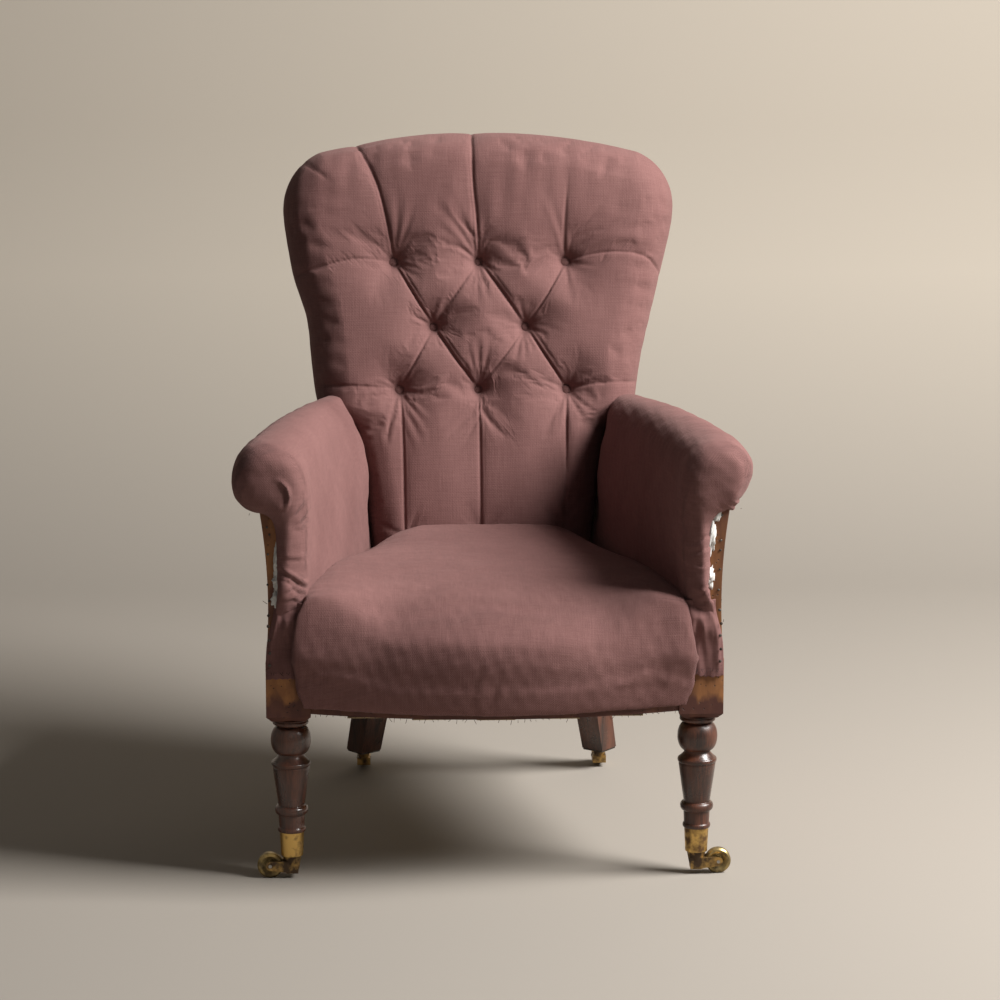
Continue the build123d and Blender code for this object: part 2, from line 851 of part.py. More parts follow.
def button_rows():
    """The rows of buttons from the top, each a list of places in the raked plane."""
    rows = []
    for share, row in zip(tuft_row_shares, tuft_rows):
        rows.append([(u, arm_v + share * back_rise) for u in row])
    return rows


def button_places():
    """Where the buttons are, in the raked plane."""
    return [place for row in button_rows() for place in row]


def tuft():
    """The funnel that a button pulls in, its sides bellied like stuffed cloth."""
    floor = back_pad_depth - tuft_depth
    belly = floor + tuft_depth * tuft_belly_share
    levels = (
        (button_radius, floor),
        ((button_radius + tuft_radius) / 2, belly),
        (tuft_radius, back_pad_depth),
        (tuft_radius, back_pad_depth + overrun),
    )
    rings = [Pos(0, 0, level) * RegularPolygon(radius, tuft_sides) for radius, level in levels]
    return loft([ring.face() for ring in rings], ruled=True)


def pleat(start, end):
    """A folded channel from one place on the back's face to another."""
    path = Vector(*end) - Vector(*start)
    half = pleat_width / 2
    face = make_face(Polyline((-half, 0), (half, 0), (0, -pleat_depth), close=True))
    turn = Vector(1, 0).get_signed_angle(path, Vector(0, 0, 1))
    place = Pos(start[0], start[1], back_pad_depth) * Rot(0, 0, turn)
    wedge = extrude(Plane.YZ * face, amount=path.length)
    slab = Pos(path.length / 2, 0, overrun / 2) * Box(path.length, pleat_width, overrun)
    return place * (wedge + slab)


def pleats():
    """Channels between neighbouring buttons, and out from the outer ones to the edges."""
    top, middle, low = button_rows()
    runs = []
    for a, row in zip(middle, (top[:2], top[1:])):
        runs += [(a, b) for b in row]
    for a, row in zip(middle, (low[:2], low[1:])):
        runs += [(a, b) for b in row]
    reach = shoulder_half
    runs += [(place, (place[0], crest_v)) for place in top]
    runs += [(place, (place[0], back_pad_bottom_v)) for place in low]
    for row in (top, low):
        runs += [(row[0], (-reach, row[0][1])), (row[-1], (reach, row[-1][1]))]
    return [pleat(*run) for run in runs]


def back_pad(stops):
    """The buttoned back: tufts and pleats sunk in its face, the frame taken out of its rear."""
    pad = cut(back_block(), [Pos(u, v) * tuft() for u, v in button_places()])
    pad = cut(pad, pleats())
    inner = back_outline(-arm_joint_inset, -tail_v)
    outer = back_outline(shoulder_half, -tail_v)
    below = Pos(0, arm_joint_v - crest_v) * Rectangle(8 * shoulder_half, 2 * crest_v)
    flank = extrude((outer - inner) & below, amount=2 * back_pad_depth, both=True)
    lining = extrude(back_panel(), amount=pad_face)
    behind = Pos(0, 0, -back_pad_depth) * extrude(
        back_outline(overrun - stile_width, -tail_v), amount=back_pad_depth + frame_face
    )
    pad = raked * (pad - flank - lining - behind)
    return largest(cut(pad, stops))


def button_ties():
    """The twine behind each button, through the pad and webs to a toggle of rolled web."""
    floor = back_pad_depth - tuft_depth
    rear = frame_face - toggle_width / 2
    tie = Pos(0, 0, (rear + floor) / 2) * Box(tie_width, tie_width, floor - rear)
    toggle = Pos(0, 0, rear) * Box(toggle_length, toggle_width, toggle_width)
    return [raked * Pos(u, v) * (tie + toggle) for u, v in button_places()]


def buttons():
    """Domed covered buttons in the floors of the tufts."""
    floor = back_pad_depth - tuft_depth
    shoulder = button_height * button_shoulder_share
    crown = button_radius * button_crown_share
    button = tapered(button_radius, button_radius, shoulder, tuft_sides)
    button += Pos(0, 0, shoulder) * tapered(
        button_radius, crown, button_height - shoulder, tuft_sides
    )
    return [raked * Pos(u, v, floor + end_float) * button for u, v in button_places()]


# Castors, each drawn round its own pivot with the wheel trailing along X


def castor_wheel(radius, width, axle_radius):
    """A cast wheel: bevelled tread and a dish on each side, with its bore along Y."""
    half = width / 2
    rim = radius * wheel_rim_share
    hub = radius * hub_share
    web = half * wheel_web_share
    bore = axle_radius + running_gap
    tread = radius - tread_bevel
    flat = half - tread_bevel
    profile = Polyline(
        (radius, -flat),
        (tread, -half),
        (rim, -half),
        (hub, -web),
        (bore, -web),
        (bore, web),
        (hub, web),
        (rim, half),
        (tread, half),
        (radius, flat),
        close=True,
    )
    return revolve(make_face(profile), axis=Axis.Y)


def castor_axle(width, axle_radius):
    """The riveted axle, along Y, its ends proud of both cheeks."""
    reach = width + 2 * (cheek_gap + cheek_thickness + axle_end)
    return Rot(90, 0, 0) * Cylinder(axle_radius, reach)


def castor_horn(trail, axle_z, tip, radius, top, width, axle_radius):
    """The swivelling horn: a tapered boss round the pivot, and two cheeks that hold the axle."""
    boss_height = top - boss_foot_height
    boss = Pos(0, 0, boss_foot_height + boss_height / 2) * Cone(tip, radius, boss_height)
    middle = width / 2 + cheek_gap + cheek_thickness / 2
    knuckle_z = boss_foot_height + tip
    knuckle = Pos(0, knuckle_z) * RegularPolygon(tip, cheek_sides)
    nose = Pos(trail, axle_z) * RegularPolygon(cheek_tip_radius, cheek_sides)
    outline = make_hull((knuckle + nose).edges())
    horn = boss + Pos(0, 0, knuckle_z) * Box(2 * tip, 2 * middle + cheek_thickness, 2 * tip)
    for side in (-1, 1):
        horn += extrude(
            cross_plane(side * middle) * outline, amount=cheek_thickness / 2, both=True
        )
    axle_hole = Pos(trail, 0, axle_z) * Rot(90, 0, 0) * Cylinder(axle_radius, 4 * middle)
    pivot_hole = Pos(0, 0, top / 2) * Cylinder(pivot_radius, top)
    return horn - axle_hole - pivot_hole


def castor_pivot(top, floor):
    """The pivot riveted into the horn, its head over the floor of the cup or plate."""
    head_bottom = top + end_float + floor + end_float
    shank_height = head_bottom - boss_foot_height
    shank = Pos(0, 0, boss_foot_height + shank_height / 2) * Cylinder(pivot_radius, shank_height)
    head = Pos(0, 0, head_bottom + pivot_head_height / 2) * Cylinder(
        pivot_head_radius, pivot_head_height
    )
    return shank + head


def castor_cup():
    """The tapered brass socket over the foot of a turned leg, bored for the pivot."""
    height = cup_top - front_cup_bottom
    outside = Pos(0, 0, front_cup_bottom + height / 2) * Cone(
        cup_radius_low, cup_radius_high, height
    )
    well_bottom = front_cup_bottom + cup_floor
    well_height = cup_top - well_bottom
    well = Pos(0, 0, well_bottom + well_height / 2) * Cone(
        cup_radius_low - cup_wall, cup_radius_high - cup_wall, well_height
    )
    bore = Pos(0, 0, front_cup_bottom + cup_floor / 2) * Cylinder(
        pivot_radius + running_gap, cup_floor
    )
    return outside - well - bore


def castor_plate():
    """The square plate under a rear leg, and the screws through it."""
    plate = Pos(0, 0, plate_bottom + plate_thickness / 2) * (
        Box(plate_side, plate_side, plate_thickness)
        - Cylinder(pivot_radius + running_gap, plate_thickness)
    )
    reach = plate_side / 2 - plate_screw_inset
    screw = tapered(plate_screw_radius, plate_screw_radius, plate_screw_length, screw_sides)
    screws = [
        Rot(0, 0, i * 360 / plate_screw_count) * Pos(reach, reach, plate_bottom) * screw
        for i in range(plate_screw_count)
    ]
    return cut(plate, screws), screws


def place_castors():
    """Both kinds of castor on the sitter's left, each piece in its place."""
    front = Pos(leg_half_span, 0)
    rear = Pos(foot_half_span, foot_y) * Rot(0, 0, 90)
    seat = Pos(foot_half_span, foot_y) * Rot(0, 0, foot_turn)
    front_axle = front * Pos(front_trail, 0, front_wheel_radius)
    rear_axle = rear * Pos(rear_trail, 0, rear_wheel_radius)
    plate, screws = castor_plate()
    pieces = {
        "front_castor_cup": front * castor_cup(),
        "front_castor_pivot": front * castor_pivot(front_boss_top, cup_floor),
        "front_castor_horn": front
        * castor_horn(
            front_trail,
            front_wheel_radius,
            front_boss_tip,
            front_boss_radius,
            front_boss_top,
            front_wheel_width,
            front_axle_radius,
        ),
        "front_castor_axle": front_axle * castor_axle(front_wheel_width, front_axle_radius),
        "front_castor_wheel": front_axle
        * castor_wheel(front_wheel_radius, front_wheel_width, front_axle_radius),
        "rear_castor_plate": seat * plate,
        "rear_castor_pivot": rear * castor_pivot(rear_boss_top, plate_thickness),
        "rear_castor_horn": rear
        * castor_horn(
            rear_trail,
            rear_wheel_radius,
            rear_boss_tip,
            rear_boss_radius,
            rear_boss_top,
            rear_wheel_width,
            rear_axle_radius,
        ),
        "rear_castor_axle": rear_axle * castor_axle(rear_wheel_width, rear_axle_radius),
        "rear_castor_wheel": rear_axle
        * castor_wheel(rear_wheel_radius, rear_wheel_width, rear_axle_radius),
    }
    return pieces, [seat * screw for screw in screws]


# The whole chair


def both(pieces):
    """A pair of pieces, from one or from a list of them."""
    listed = pieces if isinstance(pieces, list) else [pieces]
    return listed + [mirrored(piece) for piece in listed]


def build_frame():
    """Every wooden piece, trimmed and bored for its neighbours, by node name."""
    ring = back_ring()
    post = front_post()
    leg = rear_leg(ring)
    posts, legs = both(post), both(leg)
    front, front_tenons = front_rail(posts)
    rear, rear_tenons = rear_rail(legs)
    lower, lower_tenon = back_lower_rail(legs)
    side, side_tenon = side_rail([post, leg])
    arm, arm_tenon = arm_bar(
        arm_rail_front_x, arm_rail_rear_x, arm_rail_bottom, arm_rail_width, arm_rail_height,
        [post, leg],
    )
    tack, tack_tenon = arm_bar(
        tack_rail_front_x, tack_rail_rear_x, tack_rail_bottom, tack_rail_width, tack_rail_height,
        [post, leg],
    )
    stops = [front, rear, side, post, leg]
    front_block, front_screw = corner_block(block_x, post_front, False, stops)
    rear_block, rear_screw = corner_block(
        corner_vertex_x, rear_leg_y + rail_thickness / 2, True, stops
    )
    screws = [front_screw, rear_screw]
    tongues = crest_tongues()
    pieces, plate_screws = place_castors()
    head_well = Pos(foot_half_span, foot_y, foot_z + head_room / 2) * Cylinder(
        pivot_head_radius + end_float, head_room
    )
    tenons = [side_tenon, arm_tenon, tack_tenon]
    crest = crest_rail(ring)
    post = cut(post, front_tenons + tenons + screws)
    leg = cut(leg, rear_tenons + tenons + [lower_tenon, head_well] + tongues + screws + plate_screws)
    frame = {
        "front_leg": turned_leg(),
        "front_post": post,
        "rear_leg": leg,
        "seat_rail_side": cut(side, screws),
        "arm_rail": arm,
        "arm_tack_rail": tack,
    }
    frame.update(pieces)
    pairs = {}
    for name, shape in frame.items():
        pairs[name + "_left"] = [shape]
        pairs[name + "_right"] = [mirrored(shape)]
    singles = {
        "seat_rail_front": [cut(front, both(screws))],
        "seat_rail_rear": [rear],
        "back_lower_rail": [lower],
        "back_crest_rail": [cut(crest, tongues)],
        "back_crest_tongues": tongues,
        "corner_blocks": both([cut(front_block, screws), cut(rear_block, screws)]),
        "corner_block_screws": both(screws),
        "rear_castor_screws": both(plate_screws),
    }
    rough = {"posts": posts, "legs": legs, "arm_rails": both([arm, tack]), "crest": crest}
    return {**pairs, **singles}, rough


def build_soft(rough):
    """Every strap, cloth and pad, by node name."""
    posts, legs, arm_rails = rough["posts"], rough["legs"], rough["arm_rails"]
    uprights = posts + legs
    behind = raked * Pos(0, crest_v / 2, pad_face - crest_v / 2) * Box(
        4 * shoulder_half, 2 * crest_v, crest_v
    )
    arm_stops = [posts[0], legs[0], behind]
    arm_hessian = largest(cut(arm_sheet(web_thickness + cloth_gap, hessian_thickness), arm_stops))
    arm_straps = arm_webs(arm_stops)
    ties = button_ties()
    back = back_pad(legs + arm_rails + [rough["crest"]] + both(arm_hessian))
    back_hessian = raked * Pos(0, 0, hessian_face) * extrude(
        back_panel(), amount=hessian_thickness
    )
    arm_lining = arm_sheet(
        -arm_rail_width / 2,
        arm_rail_width / 2 + web_thickness + hessian_thickness + 2 * cloth_gap,
    )
    arm = largest(cut(arm_block(), arm_stops + [back, arm_lining] + arm_rails[:2]))
    seat_cloth = seat_hessian(uprights)
    prism = Pos(0, 0, rail_bottom - overrun) * extrude(seat_plan(0), amount=rail_height + overrun)
    seat = cut(seat_block(), [prism, seat_cloth] + uprights + [raked * back_block()])
    seat = largest(cut(seat, [arm, mirrored(arm)]))
    return {
        "seat_webbing": seat_webs(uprights),
        "seat_springs": seat_springs(),
        "seat_hessian": [seat_cloth],
        "seat_pad": [seat],
        "back_webbing": [cut(strap, ties + arm_rails) for strap in back_webs()],
        "back_hessian": [cut(back_hessian, ties + arm_rails)],
        "back_pad": [cut(back, ties)],
        "back_buttons": buttons(),
        "back_button_ties": ties,
        "arm_webbing_left": arm_straps,
        "arm_webbing_right": [mirrored(strap) for strap in arm_straps],
        "arm_hessian_left": [arm_hessian],
        "arm_hessian_right": [mirrored(arm_hessian)],
        "arm_pad_left": [arm],
        "arm_pad_right": [mirrored(arm)],
    }


def flat_solids(shapes):
    """All the solids of a node in one list."""
    return [solid for shape in shapes for solid in shape.solids()]


def main():
    """Builds every node, centres the chair over the origin and writes the files."""
    wood, rough = build_frame()
    nodes = {**wood, **build_soft(rough)}
    compounds = {name: Compound(flat_solids(shapes)) for name, shapes in nodes.items()}
    box = Compound(list(compounds.values())).bounding_box()
    shift = -(box.min.Y + box.max.Y) / 2
    os.makedirs("parts", exist_ok=True)
    for name, compound in compounds.items():
        export_step(Pos(0, shift, 0) * compound, f"parts/{name}.step")
    print("nodes", len(compounds), "size", box.size, "shift", round(shift, 3))


main()
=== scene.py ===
"""Spoon-back armchair stripped to its undercloth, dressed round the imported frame.

Metres, in the frame's own axes: X to the sitter's left, Y to the rear, Z up. The buttoned
back is a surface worked out with numpy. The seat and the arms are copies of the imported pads
in an even net of faces.
"""

import json
from math import cos, pi, radians, sin

import bpy
import numpy as np
from mathutils import Euler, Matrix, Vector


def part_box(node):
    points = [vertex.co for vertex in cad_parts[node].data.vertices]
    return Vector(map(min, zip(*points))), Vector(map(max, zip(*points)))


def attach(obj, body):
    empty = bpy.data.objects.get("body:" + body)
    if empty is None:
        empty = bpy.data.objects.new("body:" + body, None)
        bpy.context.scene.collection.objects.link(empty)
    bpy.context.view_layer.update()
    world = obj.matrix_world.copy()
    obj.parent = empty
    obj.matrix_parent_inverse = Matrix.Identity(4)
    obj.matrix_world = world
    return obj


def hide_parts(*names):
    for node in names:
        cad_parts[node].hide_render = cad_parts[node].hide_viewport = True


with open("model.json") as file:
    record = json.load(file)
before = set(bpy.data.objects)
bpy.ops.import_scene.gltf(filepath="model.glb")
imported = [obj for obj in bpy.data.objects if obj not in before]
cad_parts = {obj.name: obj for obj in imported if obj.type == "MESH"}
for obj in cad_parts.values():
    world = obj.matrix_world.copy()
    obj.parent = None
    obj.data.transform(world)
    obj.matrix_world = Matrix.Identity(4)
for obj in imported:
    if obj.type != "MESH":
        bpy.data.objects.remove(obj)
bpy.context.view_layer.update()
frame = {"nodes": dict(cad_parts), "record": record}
nodes = frame["nodes"]
CHAIR = "chair_frame"
MM = 0.001

# Places that the frame gives
leg_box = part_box("front_leg_left")
leg_x = (leg_box[0].x + leg_box[1].x) / 2
leg_y = (leg_box[0].y + leg_box[1].y) / 2  # the line of the front leg axes
rail_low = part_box("seat_rail_rear")[0].z
rail_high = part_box("seat_rail_rear")[1].z
post_outer = 0.299
post_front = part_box("front_post_left")[0].y

# The back's raked plane: u across, v up the rake, w towards the sitter
rake = radians(14.3)
hip_y = leg_y + 0.490
hip_z = rail_low
half_frame = 0.016  # half the thickness of the back frame


def raked(u, v, w):
    """Points of the raked plane: v climbs along the rake, and w leaves it at a right angle."""
    y = hip_y + v * sin(rake) - w * cos(rake)
    z = hip_z + v * cos(rake) + w * sin(rake)
    return np.stack(np.broadcast_arrays(u, y, z), axis=-1)


# Small tools for arrays


def ramp(x, low, high):
    """An even S from 0 below low to 1 above high: 3t^2 - 2t^3."""
    t = np.clip((x - low) / (high - low), 0, 1)
    return t * t * (3 - 2 * t)


def smooth_line(keys, at):
    """A curve through (place, value...) keys: cubic between keys, its slope there their mean slope."""
    keys = np.asarray(keys, float)
    place, value = keys[:, 0], keys[:, 1:]
    slope = np.gradient(value, place, axis=0)
    i = np.clip(np.searchsorted(place, at) - 1, 0, len(place) - 2)
    step = place[i + 1] - place[i]
    t = np.clip((at - place[i]) / step, 0, 1)[..., None]
    step = step[..., None]
    a, b = value[i], value[i + 1]
    start = (2 * t**3 - 3 * t**2 + 1) * a + (t**3 - 2 * t**2 + t) * step * slope[i]
    end = (3 * t**2 - 2 * t**3) * b + (t**3 - t**2) * step * slope[i + 1]
    return start + end


def ripple(points, size, seed):
    """Soft noise from -1 to 1: seven sines of chance direction, all about size long."""
    chance = np.random.default_rng(seed)
    total = 0
    for _ in range(7):
        way = chance.normal(size=3)
        way *= 2 * pi / (size * chance.uniform(0.7, 1.5) * np.linalg.norm(way))
        total = total + np.sin(points @ way + chance.uniform(0, 2 * pi))
    return total / 3.5


def reach_of(line):
    """How far along a line each of its points is."""
    return np.concatenate([[0], np.cumsum(np.linalg.norm(np.diff(line, axis=0), axis=1))])


def outward(line):
    """Unit vectors to the right of a line in a plane, at each of its points."""
    slope = np.gradient(line, axis=0)
    out = np.stack([slope[:, 1], -slope[:, 0]], axis=1)
    return out / np.linalg.norm(out, axis=1, keepdims=True)


def put(target, **values):
    """Sets attributes of one of Blender's things, and gives it back."""
    for name, value in values.items():
        setattr(target, name, value)
    return target


def quads(rows, columns, wrap=False):
    """Faces of a grid of points numbered row by row; wrap joins its last column to its first."""
    r = np.arange(rows - 1)[:, None]
    c = np.arange(columns if wrap else columns - 1)[None, :]
    right = (c + 1) % columns
    corners = [r * columns + c, r * columns + right, (r + 1) * columns + right, (r + 1) * columns + c]
    return np.stack(corners, axis=-1).reshape(-1, 4)


def joined(parts):
    """Many pairs of points and faces as one pair."""
    points = [part[0] for part in parts]
    counts = np.cumsum([0, *map(len, points)])
    faces = [part[1] + count for part, count in zip(parts, counts)]
    return np.concatenate(points), np.concatenate(faces)


def make_mesh(name, points, faces):
    """A smooth-shaded mesh object from arrays of points and of faces with equal corners."""
    points = np.asarray(points, np.float32).reshape(-1, 3)
    faces = np.asarray(faces, np.int32)
    corners = faces.shape[1]
    mesh = bpy.data.meshes.new(name)
    mesh.vertices.add(len(points))
    mesh.vertices.foreach_set("co", points.ravel())
    mesh.loops.add(faces.size)
    mesh.loops.foreach_set("vertex_index", faces.ravel())
    mesh.polygons.add(len(faces))
    mesh.polygons.foreach_set("loop_start", np.arange(0, faces.size, corners, dtype=np.int32))
    mesh.polygons.foreach_set("use_smooth", np.ones(len(faces), bool))
    mesh.update(calc_edges=True)
    mesh.validate()
    piece = bpy.data.objects.new(name, mesh)
    bpy.context.scene.collection.objects.link(piece)
    return piece


def set_weave(piece, u, v):
    """Stores where each point lies in the cloth, in metres along and across its threads."""
    places = np.stack([np.ravel(u), np.ravel(v)], axis=-1).astype(np.float32)
    corner = np.zeros(len(piece.data.loops), np.int32)
    piece.data.loops.foreach_get("vertex_index", corner)
    layer = piece.data.uv_layers.new(name="weave")
    layer.data.foreach_set("uv", places[corner].ravel())


def dress(piece, material, body=CHAIR):
    """Gives a finished piece its material and the body that it rides on."""
    piece.data.materials.clear()
    piece.data.materials.append(material)
    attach(piece, body)
    return piece


# Finishes: a Wire is a value on its way through a material, and arithmetic on it adds nodes


class Wire:
    """One output of a node, with the arithmetic that the finishes use."""

    def __init__(self, finish, socket):
        self.finish = finish
        self.socket = socket

    def __add__(self, other):
        return self.finish.sum("ADD", self, other)

    def __sub__(self, other):
        return self.finish.sum("SUBTRACT", self, other)

    def __mul__(self, other):
        return self.finish.sum("MULTIPLY", self, other)

    def __radd__(self, other):
        return self.finish.sum("ADD", other, self)

    def __rsub__(self, other):
        return self.finish.sum("SUBTRACT", other, self)


class Finish:
    """A material with one Principled shader, and the nodes that feed it."""

    def __init__(self, name, **shader):
        self.material = bpy.data.materials.new(name)
        self.material.use_nodes = True
        self.tree = self.material.node_tree
        self.shader = self.tree.nodes["Principled BSDF"]
        for label, value in shader.items():
            self.feed(label.replace("_", " "), value)

    def feed(self, label, value):
        """Gives one input of the shader a constant or a wire."""
        self.join(self.shader.inputs[label], value)

    def join(self, socket, value):
        if isinstance(value, Wire):
            self.tree.links.new(value.socket, socket)
        else:
            socket.default_value = value

    def node(self, kind, settings, inputs, output=0):
        """Adds a node, its settings first and then its inputs, and gives back one output."""
        node = put(self.tree.nodes.new("ShaderNode" + kind), **settings)
        for name, value in inputs.items():
            self.join(node.inputs[name], value)
        return Wire(self, node.outputs[output])

    def sum(self, operation, a, b=0.0):
        return self.node("Math", {"operation": operation}, {0: a, 1: b})

    def place(self, stretch=(1, 1, 1)):
        """Where a point is on its own object, with each axis scaled."""
        here = self.node("TexCoord", {}, {}, "Object")
        return self.node("Mapping", {}, {"Vector": here, "Scale": stretch})

    def noise(self, scale, stretch=(1, 1, 1), detail=3.0):
        settings = {"Vector": self.place(stretch), "Scale": scale, "Detail": detail}
        return self.node("TexNoise", {}, settings)

    def dots(self, scale):
        """Distance to the nearest of many scattered places, in cells."""
        return self.node("TexVoronoi", {}, {"Vector": self.place(), "Scale": scale})

    def axis(self, name):
        return self.node("SeparateXYZ", {}, {"Vector": self.place()}, name)

    def level(self, value, low, high, start=0.0, end=1.0):
        """Turns a value between low and high into one between start and end, clamped."""
        inputs = {"Value": value, "From Min": low, "From Max": high, "To Min": start, "To Max": end}
        return self.node("MapRange", {}, inputs)

    def tint(self, share, a, b):
        """A colour between a and b."""
        a, b = (c if isinstance(c, Wire) else (*c, 1.0) for c in (a, b))
        return self.node("Mix", {"data_type": "RGBA"}, {0: share, 6: a, 7: b}, 2)

    def bump(self, height, distance):
        """Feeds the shader's normal from a height; the distance is how deep a height of 1 is."""
        inputs = {"Height": height, "Distance": distance, "Strength": 1.0}
        self.feed("Normal", self.node("Bump", {}, inputs))


def woven(name, dark, light, pitch, depth, slub=0.5):
    """Plain cloth: threads over and under each other, with thicker and thinner ones among them."""
    cloth = Finish(name, Roughness=0.92, Sheen_Weight=0.1, Sheen_Roughness=0.5)
    cloth.feed("Sheen Tint", (1.0, 0.7, 0.66, 1.0))
    cloth.feed("Specular IOR Level", 0.18)
    threads = cloth.node("UVMap", {"uv_map": "weave"}, {})
    u = cloth.node("SeparateXYZ", {}, {"Vector": threads}, "X")
    v = cloth.node("SeparateXYZ", {}, {"Vector": threads}, "Y")
    turn = pi / pitch
    over = cloth.sum("SINE", u * turn) * cloth.sum("SINE", v * turn)
    run = cloth.node("Mapping", {}, {"Vector": threads, "Scale": (1, 0.05, 1)})
    rise = cloth.node("Mapping", {}, {"Vector": threads, "Scale": (0.05, 1, 1)})
    grain = cloth.node("TexNoise", {}, {"Vector": run, "Scale": 0.6 / pitch, "Detail": 2.0})
    grain = grain + cloth.node("TexNoise", {}, {"Vector": rise, "Scale": 0.6 / pitch, "Detail": 2.0})
    broad = cloth.noise(7.0) - 0.5
    speck = cloth.noise(700.0) - 0.5
    share = 0.5 + (grain - 1.0) * slub + broad * 0.9 + speck * 0.5 + over * 0.1
    cloth.feed("Base Color", cloth.tint(cloth.level(share, 0.0, 1.0), dark, light))
    cloth.bump(over * 0.5 + grain * 0.8 + speck * 0.5, depth)
    return cloth.material


def polished_wood(name, dark, light, roughness):
    """Turned and sawn wood with streaks up its length, dull where it is worn."""
    wood = Finish(name, Coat_Roughness=0.2)
    streak = wood.noise(60.0, (1, 1, 0.07), 5.0)
    pore = wood.noise(420.0, (1, 1, 0.05), 2.0)
    wear = wood.noise(24.0)
    share = wood.level(streak + pore * 0.5 + wear * 0.25, 0.7, 1.15)
    wood.feed("Base Color", wood.tint(share, dark, light))
    wood.feed("Roughness", wood.level(wear, 0.35, 0.7, roughness, roughness + 0.25))
    wood.feed("Coat Weight", wood.level(wear, 0.35, 0.65, 0.5, 0.1))
    wood.bump(pore, 0.0002)
    return wood.material


def bare_wood(name, stain_low, stain_high):
    """Old bare beech: tack holes all over, and dark stain at the foot of the block."""
    wood = Finish(name, Roughness=0.7)
    streak = wood.noise(50.0, (1, 1, 0.1), 5.0)
    share = wood.level(streak, 0.3, 0.7)
    clean = wood.tint(share, (0.11, 0.038, 0.014), (0.4, 0.17, 0.055))
    height = wood.axis("Z") + (wood.noise(70.0, (1, 1, 0.5)) - 0.5) * 0.05
    stained = wood.tint(wood.level(height, stain_low, stain_high), (0.075, 0.022, 0.014), clean)
    blotch = wood.level(wood.noise(38.0, (1, 1, 0.6)), 0.47, 0.68)
    stained = wood.tint(blotch, stained, (0.12, 0.042, 0.022))
    hole = wood.level(wood.dots(150.0), 0.08, 0.17)
    wood.feed("Base Color", wood.tint(hole, (0.03, 0.012, 0.008), stained))
    wood.bump(hole + streak * 0.3, 0.0008)
    return wood.material


def old_metal(name, clean, patina, cover, roughness):
    """Metal that is bright where it rubs and brown elsewhere."""
    metal = Finish(name, Metallic=1.0)
    stain = metal.noise(90.0, detail=5.0) + metal.noise(18.0) * 0.6
    share = metal.level(stain, cover - 0.12, cover + 0.12)
    metal.feed("Base Color", metal.tint(share, patina, clean))
    metal.feed("Roughness", metal.level(share, 0.0, 1.0, roughness + 0.28, roughness))
    metal.feed("Metallic", metal.level(share, 0.0, 1.0, 0.55, 1.0))
    metal.bump(stain, 0.0003)
    return metal.material


def plain(name, color, roughness, metallic=0.0):
    finish = Finish(name, Roughness=roughness, Metallic=metallic)
    mottle = finish.noise(300.0)
    darker = tuple(0.6 * c for c in color)
    finish.feed("Base Color", finish.tint(mottle, darker, color))
    return finish.material


cloth_finish = woven("undercloth", (0.125, 0.056, 0.052), (0.24, 0.122, 0.113), 0.0011, 0.0003)
strap_finish = woven("jute_webbing", (0.3, 0.21, 0.11), (0.52, 0.4, 0.24), 0.0022, 0.0009)
sacking_finish = woven("hessian", (0.2, 0.13, 0.065), (0.42, 0.3, 0.17), 0.0028, 0.0012, 1.2)
leg_finish = polished_wood("stained_leg", (0.018, 0.006, 0.004), (0.125, 0.04, 0.02), 0.24)
frame_finish = bare_wood("bare_beech", rail_low + 0.012, rail_low + 0.024)
brass_finish = old_metal("worn_brass", (0.62, 0.4, 0.13), (0.13, 0.068, 0.026), 0.72, 0.3)
wheel_finish = old_metal("wheel_brass", (0.42, 0.31, 0.13), (0.1, 0.07, 0.03), 0.8, 0.34)
bronze_finish = old_metal("dark_bronze", (0.46, 0.29, 0.1), (0.06, 0.035, 0.018), 0.82, 0.36)
iron_finish = old_metal("dull_iron", (0.12, 0.11, 0.1), (0.05, 0.035, 0.028), 0.8, 0.5)
wire_finish = plain("coppered_wire", (0.5, 0.3, 0.2), 0.4, 1.0)
steel_finish = plain("steel", (0.45, 0.44, 0.42), 0.35, 1.0)
twine_finish = plain("waxed_twine", (0.6, 0.5, 0.34), 0.8)
wadding_finish = plain("wadding", (0.8, 0.79, 0.76), 1.0)
thread_finish = plain("dark_thread", (0.045, 0.022, 0.02), 0.9)

SLOT_FINISH = {
    "stained_wood": leg_finish,
    "frame_wood": frame_finish,
    "undercloth": cloth_finish,
    "castor_brass": brass_finish,
    "castor_bronze": bronze_finish,
    "castor_iron": iron_finish,
    "steel": steel_finish,
}
slot_of = {part["node"]: part["material_slot"] for part in frame["record"]["subparts"]}
for node_name, node_object in nodes.items():
    finish = SLOT_FINISH.get(slot_of.get(node_name))
    if node_name.startswith(("front_castor_wheel", "rear_castor_wheel")):
        finish = wheel_finish
    if finish:
        node_object.data.materials.clear()
        node_object.data.materials.append(finish)


# Soft pieces: cloth under pressure, and the folds laid on afterwards


def read_points(mesh, what="co"):
    """The places of a mesh's points, or their normals."""
    flat = np.zeros(3 * len(mesh.vertices), np.float32)
    mesh.vertices.foreach_get(what, flat)
    return flat.reshape(-1, 3).astype(float)


def write_points(mesh, points):
    mesh.vertices.foreach_set("co", points.astype(np.float32).ravel())
    mesh.update()


def baked(piece):
    """Applies whatever modifiers the piece has."""
    bpy.context.view_layer.update()
    shape = piece.evaluated_get(bpy.context.evaluated_depsgraph_get())
    mesh = bpy.data.meshes.new_from_object(shape)
    piece.modifiers.clear()
    old = piece.data
    piece.data = mesh
    bpy.data.meshes.remove(old)
    return piece


SETTLE_STEPS = 20


